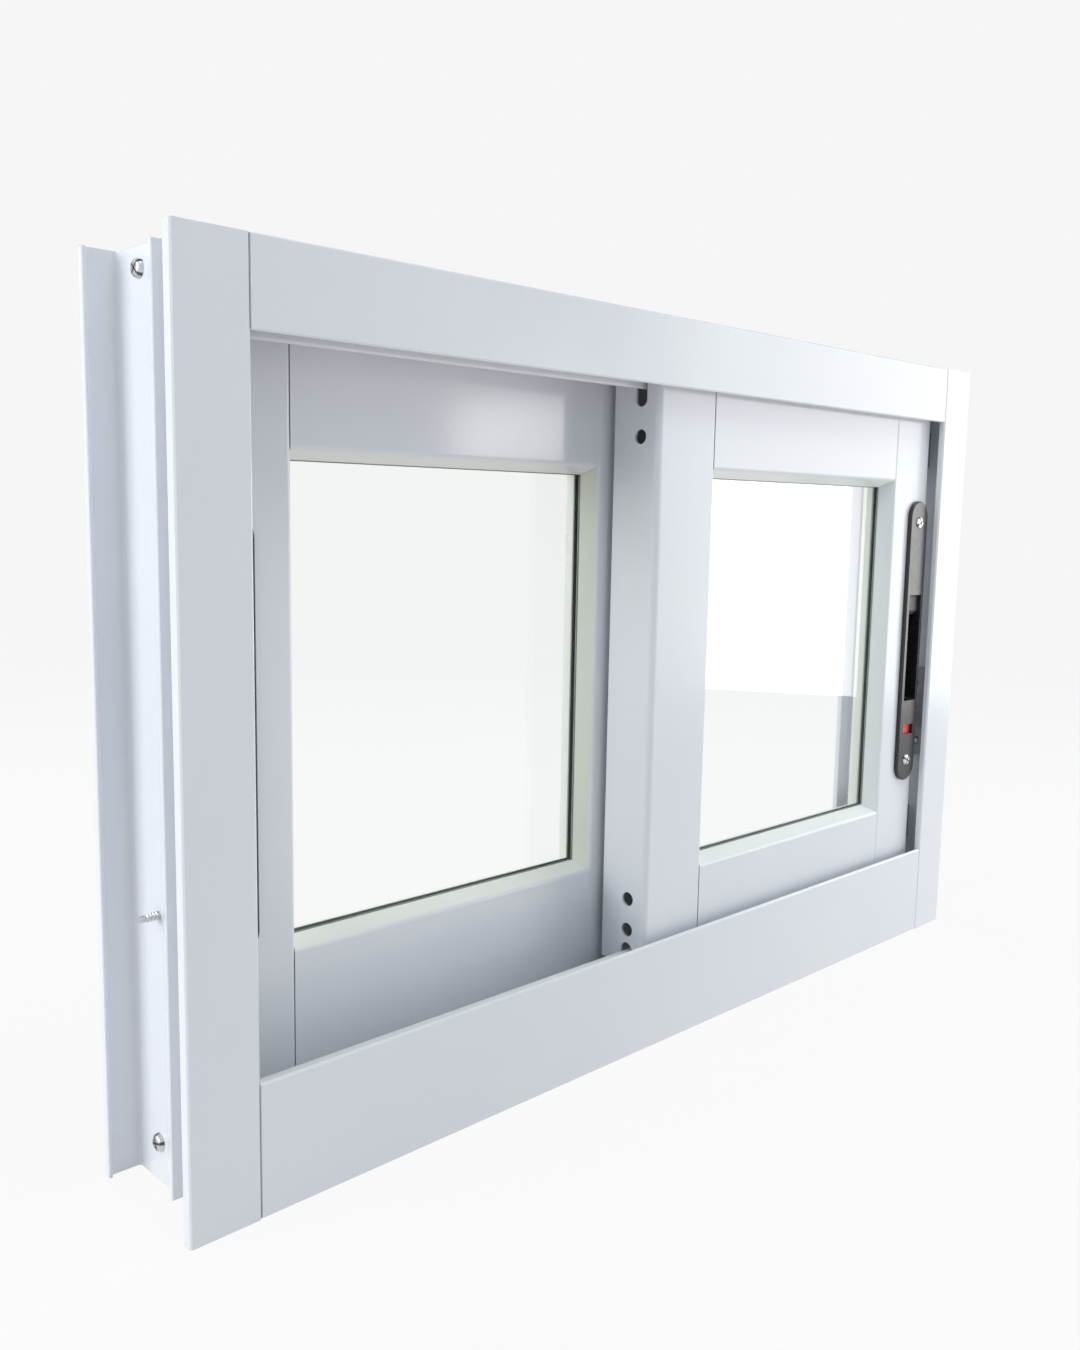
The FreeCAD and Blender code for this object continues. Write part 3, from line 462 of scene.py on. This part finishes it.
@dataclass(frozen=True)
class FloatGlass:
    """Clear float glass with a slight green cast, which lamps shine through."""

    name: str = "float_glass"
    cast: Colour = (0.972, 0.990, 0.978)
    haze: Span = (0.0, 0.012)
    haze_cloud: Cloud = Cloud(30.0, 3.0)
    ior: float = 1.52

    def build(self) -> bpy.types.Material:
        """Makes the material.

        Returns:
            The material.
        """
        graph = Surface(self.name)
        graph.set(Base_Color=opaque(self.cast), IOR=self.ior, Transmission_Weight=1.0)
        graph.set(Roughness=graph.spread(self.haze_cloud, self.haze))
        clear = graph.add("ShaderNodeBsdfTransparent", Color=opaque(self.cast))
        rays = graph.add("ShaderNodeLightPath")
        graph.show(rays.outputs["Is Shadow Ray"], clear.outputs[0])
        return graph.material


@dataclass(frozen=True)
class Finish:
    """A finish with cloudy colour, cloudy gloss and a fine grain."""

    name: str
    tones: tuple[Colour, Colour]
    gloss: Span
    tone_cloud: Cloud
    gloss_cloud: Cloud
    grain: Grain
    ior: float = 1.5
    metallic: float = 0.0

    def build(self) -> bpy.types.Material:
        """Makes the material.

        Returns:
            The material.
        """
        graph = Surface(self.name)
        graph.set(
            Base_Color=graph.tint(self.tone_cloud, self.tones),
            Roughness=graph.spread(self.gloss_cloud, self.gloss),
            Normal=graph.relief(self.grain),
            IOR=self.ior,
            Metallic=self.metallic,
        )
        return graph.material


@dataclass(frozen=True)
class Rubber(Finish):
    """Extruded or moulded rubber with a dusty, slightly uneven skin."""

    gloss: Span = (0.55, 0.78)
    tone_cloud: Cloud = Cloud(70.0, 5.0)
    gloss_cloud: Cloud = Cloud(110.0, 3.0)
    grain: Grain = Grain(Cloud(900.0, 3.0), 0.00008, 0.35)
    ior: float = 1.48


@dataclass(frozen=True)
class SatinEnamel(Finish):
    """Satin enamel on a die-cast plate, with a fine even grain."""

    gloss: Span = (0.28, 0.36)
    tone_cloud: Cloud = Cloud(160.0, 4.0)
    gloss_cloud: Cloud = Cloud(240.0, 3.0)
    grain: Grain = Grain(Cloud(1500.0, 2.0), 0.00003, 0.30)
    ior: float = 1.55


@dataclass(frozen=True)
class MouldedPlastic(Finish):
    """Injection-moulded plastic with fine spark-eroded grain and faint flow marks."""

    tone_cloud: Cloud = Cloud(60.0, 2.0, (1.0, 1.0, 0.35))
    gloss_cloud: Cloud = Cloud(300.0, 3.0)
    grain: Grain = Grain(Cloud(2200.0, 2.0), 0.00003, 0.28)
    ior: float = 1.49


@dataclass(frozen=True)
class BrushedZinc(Finish):
    """Bright zinc on pressed steel, brushed along one axis and slightly cloudy."""

    tones: tuple[Colour, Colour] = ((0.52, 0.53, 0.55), (0.70, 0.71, 0.72))
    gloss: Span = (0.22, 0.42)
    tone_cloud: Cloud = Cloud(120.0, 4.0)
    gloss_cloud: Cloud = Cloud(1.0, 3.0, (700.0, 700.0, 60.0))
    grain: Grain = Grain(Cloud(1.0, 2.0, (700.0, 700.0, 60.0)), 0.00002, 0.30)
    metallic: float = 1.0


@dataclass(frozen=True)
class ScrewZinc(BrushedZinc):
    """The duller zinc of a screw, with a grain that has no direction."""

    tones: tuple[Colour, Colour] = ((0.50, 0.51, 0.53), (0.66, 0.67, 0.68))
    gloss_cloud: Cloud = Cloud(1.0, 3.0, (500.0, 500.0, 500.0))
    grain: Grain = Grain(Cloud(1.0, 2.0, (500.0, 500.0, 500.0)), 0.00002, 0.30)


class Palette:
    """Every finish of the window, each made once."""

    frame_height: float = 0.4
    stile_top: float = 0.380
    rail_gloss: Span = (0.09, 0.13)
    bead_gloss: Span = (0.26, 0.34)
    # Painted light: the beads' cream-green stands for green-tinted light through the glass on their
    # white coat.
    bead_glass_light_tones: tuple[Colour, Colour] = ((0.780, 0.800, 0.730), (0.810, 0.826, 0.760))
    pane_middle: float = 0.127
    pane_height: float = 0.20815
    lip_across: float = 0.0995
    lip_up: float = 0.1149
    # Painted light on the lips round each pane: green-tinted light through the glass, paler on the
    # front sash.
    stile_lip_light: dict[Track, Colour] = {
        Track.FRONT: (0.770, 0.810, 0.815),
        Track.REAR: (0.720, 0.745, 0.660),
    }
    rail_lip_light: dict[Track, Colour] = {
        Track.FRONT: (0.860, 0.895, 0.885),
        Track.REAR: (0.825, 0.840, 0.795),
    }

    def __init__(self) -> None:
        """Builds the materials."""
        half = self.frame_height / 2
        self.jamb_coat = PowderCoat("jamb_coat", Run.UPRIGHT, cuts=SawCuts(half, half)).build()
        self.level_coat = PowderCoat("level_coat", Run.LEVEL).build()
        self.stile_coats = {track: self._stile_coat(track) for track in Track}
        self.rail_coats = {track: self._rail_coat(track) for track in Track}
        self.bead_coat_glass_light = PowderCoat(
            "bead_coat_glass_light", Run.LEVEL, self.bead_glass_light_tones, self.bead_gloss,
        ).build()
        self.pane = FloatGlass().build()
        # Partly painted light: a black rubber gasket, lifted to pale green-grey for the green light
        # through the glass edge.
        self.gasket = Rubber("gasket_rubber_glass_light", ((0.20, 0.24, 0.215), (0.26, 0.30, 0.27))).build()
        # Partly painted shade: real rubber stop blocks, their blue-grey toned to the shaded jamb
        # web round them.
        self.buffer = Rubber(
            "buffer_rubber_shade_tone", ((0.20, 0.215, 0.24), (0.25, 0.265, 0.29)),
            grain=Grain(Cloud(600.0, 3.0), 0.00008, 0.35),
        ).build()
        self.lock = SatinEnamel(
            "lock_enamel", ((0.012, 0.012, 0.014), (0.020, 0.020, 0.023)), (0.21, 0.28),
        ).build()
        self.slider = MouldedPlastic(
            "slider_plastic", ((0.085, 0.088, 0.093), (0.110, 0.113, 0.118)), (0.36, 0.46),
        ).build()
        self.flag = MouldedPlastic(
            "flag_plastic", ((0.80, 0.045, 0.060), (0.86, 0.060, 0.075)), (0.22, 0.32),
        ).build()
        self.wheel = MouldedPlastic(
            "wheel_plastic", ((0.62, 0.61, 0.57), (0.70, 0.69, 0.65)), (0.32, 0.44),
        ).build()
        self.guide = MouldedPlastic(
            "guide_plastic", ((0.10, 0.10, 0.11), (0.14, 0.14, 0.15)), (0.40, 0.52),
        ).build()
        # Partly painted shade: a real keeper, its pale blue-grey toned to the shaded jamb web round
        # it.
        self.keeper = SatinEnamel(
            "keeper_enamel_shade_tone", ((0.40, 0.42, 0.45), (0.47, 0.49, 0.52)),
        ).build()
        self.zinc = BrushedZinc("zinc_plate").build()
        # The screws' second finish is painted shade for their cross recesses.
        self.screw = (ScrewZinc("screw_zinc").build(), SatinEnamel(
            "recess_painted_shade", ((0.050, 0.052, 0.056), (0.085, 0.088, 0.092)), (0.45, 0.60),
            grain=Grain(Cloud(900.0, 2.0), 0.00003, 0.30),
        ).build())

    def _stile_coat(self, track: Track) -> bpy.types.Material:
        """Makes the coat of one sash's stiles, bare at their sawn ends, with painted light on the
        lip round the pane.

        Args:
            track: the track of the sash.

        Returns:
            The material.
        """
        middle = (self.stile_top + track.foot) / 2
        cuts = SawCuts(middle, self.stile_top - middle)
        across = self.pane_middle * track.side.value
        lip = PaneLipLight("X", across, self.lip_across, self.stile_lip_light[track])
        return PowderCoat(track.value + "_stile_coat", Run.UPRIGHT, cuts=cuts, lip=lip).build()

    def _rail_coat(self, track: Track) -> bpy.types.Material:
        """Makes the glossier coat of one sash's rails, with painted light on the lips above and
        below the pane.

        Args:
            track: the track of the sash.

        Returns:
            The material.
        """
        lip = PaneLipLight("Z", self.pane_height, self.lip_up, self.rail_lip_light[track])
        name = track.value + "_rail_coat"
        return PowderCoat(name, Run.LEVEL, gloss=self.rail_gloss, lip=lip).build()


def dress(node: str, material: bpy.types.Material) -> None:
    """Gives a solid of the model its finish.

    Args:
        node: the solid's name.
        material: the finish.
    """
    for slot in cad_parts[node].material_slots:
        slot.material = material
    LOG.info("dressed %s with %s", node, material.name)


def merge_into(bm: bmesh.types.BMesh, part: bmesh.types.BMesh, place: Place,
               turned: Matrix) -> None:
    """Puts a finished small mesh in its place in a larger one and frees it.

    Args:
        bm: the mesh that grows.
        part: the mesh that is added.
        place: where its origin goes.
        turned: how it is turned there.
    """
    bmesh.ops.recalc_face_normals(part, faces=part.faces)
    bmesh.ops.transform(part, matrix=Matrix.Translation(place) @ turned, verts=part.verts)
    scratch = bpy.data.meshes.new("scratch")
    part.to_mesh(scratch)
    part.free()
    bm.from_mesh(scratch)
    bpy.data.meshes.remove(scratch)


def facing(outward: Place) -> Matrix:
    """The turn that points a screw's axis outwards."""
    return Vector(outward).to_track_quat("Z", "X").to_matrix().to_4x4()


def finish_piece(name: str, bm: bmesh.types.BMesh, finishes: tuple[bpy.types.Material, ...],
                 body: str) -> None:
    """Turns a mesh into a piece that rides on a body.

    Args:
        name: the piece's name.
        bm: its mesh, in place.
        finishes: its materials, in the order that its faces number them.
        body: the body it rides on.
    """
    mesh = bpy.data.meshes.new(name)
    bm.to_mesh(mesh)
    bm.free()
    mesh.shade_smooth()
    mesh.set_sharp_from_angle(angle=SHARP_ANGLE)
    for finish in finishes:
        mesh.materials.append(finish)
    piece = bpy.data.objects.new(name, mesh)
    bpy.context.scene.collection.objects.link(piece)
    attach(piece, body)
    LOG.info("built %s: %d faces on %s", name, len(mesh.polygons), body)


@dataclass(frozen=True)
class ScrewHead:
    """A cross-recessed screw: a domed head with an optional shank.

    The dome is given from its top to its seat, as shares of the radius and of the drop.
    """

    radius: float = 0.0040
    height: float = 0.0024
    dome: tuple[Span, ...] = ((0.75, 0.05), (0.90, 0.24), (0.98, 0.55), (1.0, 1.0))
    recess_reach: float = 0.0022
    recess_width: float = 0.0009
    recess_depth: float = 0.0014
    recess_rim: float = 0.06
    recess_taper: float = 0.45
    shank_radius: float = 0.0018
    shank_length: float = 0.0
    shank_point: float = 0.2
    segments: int = 32
    slice_gap: float = 1e-7

    def add_to(self, bm: bmesh.types.BMesh, place: Place, outward: Place, turn: float) -> None:
        """Adds one screw to a mesh, with its seat at a place.

        Args:
            bm: the mesh under construction.
            place: middle of the seat under the head.
            outward: direction that the head points to.
            turn: angle of the cross about the screw's own axis.
        """
        part = bmesh.new()
        disc = bmesh.ops.create_circle(
            part, cap_ends=True, radius=self.recess_reach, segments=self.segments,
        )
        bmesh.ops.translate(part, verts=disc["verts"], vec=(0, 0, self.height))
        self._cross(part)
        rim = [edge for edge in part.edges if edge.is_boundary]
        for share, drop in self.dome:
            rim = self._ring(part, rim, self.radius * share, self.height * (1 - drop))
        if self.shank_length > 0:
            rim = self._ring(part, rim, self.shank_radius, 0.0)
            rim = self._ring(part, rim, self.shank_radius, -self.shank_length)
            point = self.shank_radius * self.shank_point
            rim = self._ring(part, rim, point, -self.shank_length - self.shank_radius)
        bmesh.ops.edgeloop_fill(part, edges=rim)
        merge_into(bm, part, place, facing(outward) @ Matrix.Rotation(turn, 4, "Z"))

    def _ring(self, part: bmesh.types.BMesh, rim: list[bmesh.types.BMEdge], radius: float,
              height: float) -> list[bmesh.types.BMEdge]:
        """Extrudes a round rim to a new radius and height.

        Args:
            part: the screw's mesh.
            rim: the edges of the open rim.
            radius: the new ring's radius.
            height: the new ring's height.

        Returns:
            The edges of the new rim.
        """
        made = bmesh.ops.extrude_edge_only(part, edges=rim)["geom"]
        verts = [item for item in made if isinstance(item, bmesh.types.BMVert)]
        scale = radius / max(vert.co.xy.length for vert in verts)
        bmesh.ops.scale(part, vec=(scale, scale, 1), verts=verts)
        bmesh.ops.translate(part, vec=(0, 0, height - verts[0].co.z), verts=verts)
        fresh = set(verts)
        return [edge for edge in part.edges if fresh.issuperset(edge.verts)]

    def _cross(self, part: bmesh.types.BMesh) -> None:
        """Sinks a tapered cross into the flat top and gives its faces the dark finish that paints
        the recess's shade.

        Args:
            part: the screw's mesh, so far a round disc.
        """
        half = self.recess_width / 2
        for axis in (Vector((1, 0, 0)), Vector((0, 1, 0))):
            for side in (-1, 1):
                bmesh.ops.bisect_plane(
                    part, geom=list(part.verts) + list(part.edges) + list(part.faces),
                    dist=self.slice_gap, plane_co=axis * side * half, plane_no=axis,
                )
        arms = []
        for face in part.faces:
            centre = face.calc_center_median()
            if abs(centre.x) < half or abs(centre.y) < half:
                arms.append(face)
        rim = self.recess_width * self.recess_rim
        bmesh.ops.inset_region(part, faces=arms, thickness=rim, use_even_offset=True)
        made = bmesh.ops.extrude_face_region(part, geom=arms)["geom"]
        verts = [item for item in made if isinstance(item, bmesh.types.BMVert)]
        old = [face for face in arms if face.is_valid]
        bmesh.ops.delete(part, geom=old, context="FACES_ONLY")
        # The recess faces take the dark second finish: painted shade in the recess.
        for face in {face for vert in verts for face in vert.link_faces}:
            face.material_index = RECESS_SHADE_FINISH
        bmesh.ops.scale(part, vec=(self.recess_taper, self.recess_taper, 1), verts=verts)
        bmesh.ops.translate(part, vec=(0, 0, -self.recess_depth), verts=verts)


@dataclass(frozen=True)
class ThreadedTip:
    """The free end of a self-tapping screw that sticks out of a web."""

    core: float = 0.0015
    crest: float = 0.00195
    pitch: float = 0.0014
    length: float = 0.0104
    point: float = 0.0022
    point_radius: float = 0.0003
    root_share: float = 0.96
    crest_rise: float = 0.25
    ridge_rise: float = 0.5
    segments: int = 20

    def add_to(self, bm: bmesh.types.BMesh, place: Place, outward: Place) -> None:
        """Adds one tip to a mesh.

        Args:
            bm: the mesh under construction.
            place: where the screw comes out of the web.
            outward: direction that the tip points to.
        """
        part = bmesh.new()
        straight = self.length - self.point
        for start, depth, end in (
            (0.0, straight, self.core), (straight, self.point, self.point_radius),
        ):
            bmesh.ops.create_cone(
                part, cap_ends=True, segments=self.segments, radius1=self.core, radius2=end,
                depth=depth, matrix=Matrix.Translation((0, 0, start + depth / 2)),
            )
        turns = math.floor((straight - self.pitch) / self.pitch)
        root = self.core * self.root_share
        profile = [
            part.verts.new((root, 0, 0)),
            part.verts.new((self.crest, 0, self.pitch * self.crest_rise)),
            part.verts.new((root, 0, self.pitch * self.ridge_rise)),
        ]
        ridge = part.faces.new(profile)
        bmesh.ops.spin(
            part, geom=[ridge] + list(ridge.edges) + profile, cent=(0, 0, 0), axis=(0, 0, 1),
            dvec=(0, 0, self.pitch / self.segments), angle=math.tau * turns,
            steps=self.segments * turns, use_merge=False, use_normal_flip=False,
            use_duplicate=False,
        )
        merge_into(bm, part, place, facing(outward))


@dataclass
class OuterFrame:
    """The fixed frame: four coated bars, keepers, buffers and its own screws."""

    palette: Palette
    half_width: float = 0.306
    front_web: float = 0.018
    rear_web: float = 0.016
    web_wall: float = 0.0018
    port_depth: float = 0.0175
    port_heights: Span = (0.391, 0.0185)
    first_turn: float = 0.3
    turn_step: float = 0.5
    corner_head: ScrewHead = ScrewHead(shank_length=0.012)
    keeper_thick: float = 0.003
    keeper_turn: float = 0.6
    left_keeper_screw: Span = (0.0135, 0.123)
    right_keeper_screw: Span = (-0.0235, 0.138)
    keeper_head: ScrewHead = ScrewHead(radius=0.0036, height=0.0018, recess_depth=0.0011)
    tip: ThreadedTip = ThreadedTip()

    def dress(self) -> None:
        """Gives the bars, keepers and buffers their finishes."""
        for side in Side:
            dress(side.label + "_jamb", self.palette.jamb_coat)
            dress(side.label + "_lock_keeper", self.palette.keeper)
            dress(side.label + "_stop_blocks", self.palette.buffer)
        dress("head", self.palette.level_coat)
        dress("sill", self.palette.level_coat)

    def build_corner_screws(self) -> None:
        """Builds the eight screws that hold the jambs to the head and the sill."""
        places = ((-self.port_depth, self.front_web), (self.port_depth, self.rear_web))
        for side in Side:
            bm = bmesh.new()
            turn = self.first_turn
            for height in self.port_heights:
                for depth, web in places:
                    place = (side.value * (self.half_width - web), depth, height)
                    self.corner_head.add_to(bm, place, (side.value, 0, 0), turn)
                    turn += self.turn_step
            finish_piece(side.label + "_corner_screws", bm, self.palette.screw, "frame")

    def build_keeper_screws(self) -> None:
        """Builds each keeper's screw: its head inside the web and its tip outside it."""
        for side, (depth, height), web in (
            (Side.LEFT, self.left_keeper_screw, self.rear_web),
            (Side.RIGHT, self.right_keeper_screw, self.front_web),
        ):
            outer = self.half_width - web
            seat = outer - self.web_wall - self.keeper_thick
            bm = bmesh.new()
            self.keeper_head.add_to(
                bm, (side.value * seat, depth, height), (-side.value, 0, 0), self.keeper_turn,
            )
            self.tip.add_to(bm, (side.value * outer, depth, height), (side.value, 0, 0))
            finish_piece(side.label + "_keeper_screw", bm, self.palette.screw, "frame")


@dataclass
class SlidingSash:
    """One glazed sash with its running gear and lock."""

    track: Track
    palette: Palette
    lock_face: float
    lock_middle: float
    lock_x: float = 0.25745
    screw_rise: float = 0.0838
    screw_turns: Span = (0.5, 1.1)
    head: ScrewHead = ScrewHead(
        radius=0.0040, height=0.0011, recess_reach=0.0023, recess_width=0.0011,
        recess_depth=0.0009,
    )

    def dress(self) -> None:
        """Gives every solid of the sash its finish."""
        paint = self.palette
        for part, material in {
            "meeting_stile": paint.stile_coats[self.track],
            "lock_stile": paint.stile_coats[self.track],
            "interlock": paint.stile_coats[Track.FRONT],
            "top_rail": paint.rail_coats[self.track],
            "bottom_rail": paint.rail_coats[self.track],
            "glass": paint.pane,
            "glass_gasket": paint.gasket,
            "glazing_beads": paint.bead_coat_glass_light,
            "roller_housings": paint.zinc,
            "roller_wheels": paint.wheel,
            "top_guides": paint.guide,
            "lock_plate": paint.lock,
            "lock_slider": paint.slider,
            "lock_indicator": paint.flag,
        }.items():
            dress(self.track.value + "_" + part, material)

    def build_lock_screws(self) -> None:
        """Builds the two screws that hold the lock plate."""
        bm = bmesh.new()
        lock_x = self.track.side.value * self.lock_x
        for rise, turn in zip((self.screw_rise, -self.screw_rise), self.screw_turns):
            place = (lock_x, self.lock_face, self.lock_middle + rise)
            self.head.add_to(bm, place, INDOORS, turn)
        sash = self.track.value
        finish_piece(sash + "_lock_screws", bm, self.palette.screw, sash + "_sash")


@dataclass(frozen=True)
class SoftLamp:
    """A rectangular lamp that lights evenly over its face."""

    name: str
    place: Place
    target: Place
    width: float
    height: float
    radiance: float
    colour: Colour = WHITE
    mirrored: bool = True

    def build(self) -> None:
        """Adds the lamp to the scene."""
        data = bpy.data.lights.new(self.name, "AREA")
        data.shape = "RECTANGLE"
        data.size = self.width
        data.size_y = self.height
        data.energy = self.radiance * math.pi * self.width * self.height
        data.color = self.colour
        lamp = bpy.data.objects.new(self.name, data)
        lamp.location = self.place
        lamp.visible_camera = False
        lamp.visible_glossy = self.mirrored
        lamp.visible_transmission = self.mirrored
        lamp.rotation_mode = "QUATERNION"
        beam = Vector(self.target) - Vector(self.place)
        lamp.rotation_quaternion = beam.to_track_quat("-Z", "Y")
        bpy.context.scene.collection.objects.link(lamp)


@dataclass
class Studio:
    """White floor, soft light and the camera at the photograph's angle."""

    floor_half: float = 9.0
    floor_colour: Colour = (0.60, 0.595, 0.59)
    floor_roughness: float = 0.9
    floor_specular: float = 0.1
    floor_glow: float = 1.0
    floor_share: float = 0.90
    fade: Span = (0.6, 1.9)
    bounce: Colour = (1.0, 0.97, 0.95)
    bounce_share: float = 0.35
    backdrop: float = 0.92
    ambient: Colour = (0.79, 0.90, 1.0)
    ambient_strength: float = 0.425
    camera_place: Place = (-0.5268, -0.4578, 0.2962)
    camera_right: Place = (0.7154073, -0.6984773, 0.0179425)
    camera_down: Place = (-0.0789568, -0.1063323, -0.9911908)
    camera_ahead: Place = (0.6942322, 0.7076884, -0.1312205)
    camera_reach: Span = (0.01, 60.0)
    sensor: float = 36.0
    lens: float = 32.45
    lamps: tuple[SoftLamp, ...] = (
        SoftLamp("right_window_lamp", (1.21, -0.606, 0.43), (0.25, -0.03, 0.21), 0.70, 0.88, 2.9),
        SoftLamp(
            "left_side_lamp", (-2.1, 0.35, 0.9), (-0.3, 0.0, 0.2), 1.6, 1.4, 4.3, (0.97, 0.98, 1.0),
        ),
        SoftLamp(
            "overhead_lamp", (0.2, -0.62, 1.6), (0.05, 0.0, 0.1), 1.3, 0.6, 3.1, (1.0, 1.0, 0.95),
        ),
        SoftLamp(
            "small_mirror_lamp", (1.30, -1.49, 0.47), (-0.09, 0.0075, 0.339), 0.26, 0.14, 7.0,
            (1.0, 0.93, 0.91),
        ),
        SoftLamp(
            "low_fill_lamp", (0.62, -0.60, 0.06), (0.27, -0.03, 0.08), 0.34, 0.20, 4.2,
            mirrored=False,
        ),
        SoftLamp(
            "back_fill_lamp", (-0.35, 1.6, 1.1), (0.05, 0.04, 0.2), 1.3, 0.9, 2.1, mirrored=False,
        ),
    )

    def build(self) -> None:
        """Builds the floor, the world, the lamps and the camera."""
        self._floor()
        self._world()
        for lamp in self.lamps:
            lamp.build()
        self._camera()

    def _floor(self) -> None:
        """Adds a pale floor that looks white, takes a shadow and lights the object from below."""
        bm = bmesh.new()
        bmesh.ops.create_grid(bm, x_segments=1, y_segments=1, size=self.floor_half)
        mesh = bpy.data.meshes.new("floor")
        bm.to_mesh(mesh)
        bm.free()
        mesh.materials.append(self._floor_finish())
        floor = bpy.data.objects.new("floor", mesh)
        bpy.context.scene.collection.objects.link(floor)

    def _floor_finish(self) -> bpy.types.Material:
        """Makes the floor's material, which glows more for rays that are seen.

        Returns:
            The material.
        """
        graph = Surface("pale_floor")
        graph.set(
            Base_Color=opaque(self.floor_colour), Roughness=self.floor_roughness,
            Specular_IOR_Level=self.floor_specular,
        )
        seen = graph.seen_rays()
        colour = graph.blend(Mixed.COLOUR, seen, opaque(self.bounce), opaque(WHITE))
        glow = graph.add("ShaderNodeEmission")
        graph.join(colour, glow.inputs["Color"])
        graph.join(self._outwards(graph, self.floor_glow, self.backdrop), glow.inputs["Strength"])
        near, far = self.floor_share - self.bounce_share, 1.0 - self.bounce_share
        added = self._outwards(graph, near, far)
        share = graph.calculate("MULTIPLY_ADD", seen, added, self.bounce_share)
        graph.show(share, glow.outputs[0])
        return graph.material

    def _outwards(self, graph: Graph, near: float, far: float) -> Socket:
        """A value that changes from the object outwards, so that floor and backdrop meet unseen.

        Args:
            graph: the floor's graph.
            near: the value round the object.
            far: the value where the floor has become the backdrop.

        Returns:
            The value socket.
        """
        distance = graph.add("ShaderNodeVectorMath", operation="LENGTH")
        graph.join(graph.place(), distance.inputs[0])
        return graph.rescale(distance.outputs["Value"], self.fade, (near, far), Easing.SMOOTH)

    def _world(self) -> None:
        """Lights the object evenly from all round, and shows white behind it."""
        world = bpy.data.worlds.new("soft_surround")
        bpy.context.scene.world = world
        world.use_nodes = True
        world.node_tree.nodes.clear()
        graph = Graph(world.node_tree)
        soft = graph.add(
            "ShaderNodeBackground", Color=opaque(self.ambient), Strength=self.ambient_strength,
        )
        white = graph.add("ShaderNodeBackground", Color=opaque(WHITE), Strength=self.backdrop)
        output = graph.add("ShaderNodeOutputWorld")
        lit = graph.blend_shaders(graph.seen_rays(), soft.outputs[0], white.outputs[0])
        graph.join(lit, output.inputs["Surface"])

    def _camera(self) -> None:
        """Sets the camera where the photograph was taken from."""
        data = bpy.data.cameras.new("photo_camera")
        data.sensor_fit = "AUTO"
        data.sensor_width = self.sensor
        data.lens = self.lens
        data.clip_start, data.clip_end = self.camera_reach
        camera = bpy.data.objects.new("photo_camera", data)
        up, back = -Vector(self.camera_down), -Vector(self.camera_ahead)
        axes = Matrix((self.camera_right, up, back)).transposed().to_4x4()
        camera.matrix_world = Matrix.Translation(self.camera_place) @ axes
        bpy.context.scene.collection.objects.link(camera)
        bpy.context.scene.camera = camera


def main() -> None:
    """Builds the classes in order and reports each piece."""
    logging.basicConfig(level=logging.INFO, format="%(message)s")
    bpy.context.scene.view_settings.view_transform = "Standard"
    palette = Palette()
    outer = OuterFrame(palette)
    outer.dress()
    outer.build_corner_screws()
    outer.build_keeper_screws()
    for sash in (
        SlidingSash(Track.FRONT, palette, lock_face=-0.0324, lock_middle=0.211),
        SlidingSash(Track.REAR, palette, lock_face=0.0046, lock_middle=0.196),
    ):
        sash.dress()
        sash.build_lock_screws()
    Studio().build()


if __name__ == "__main__":
    main()
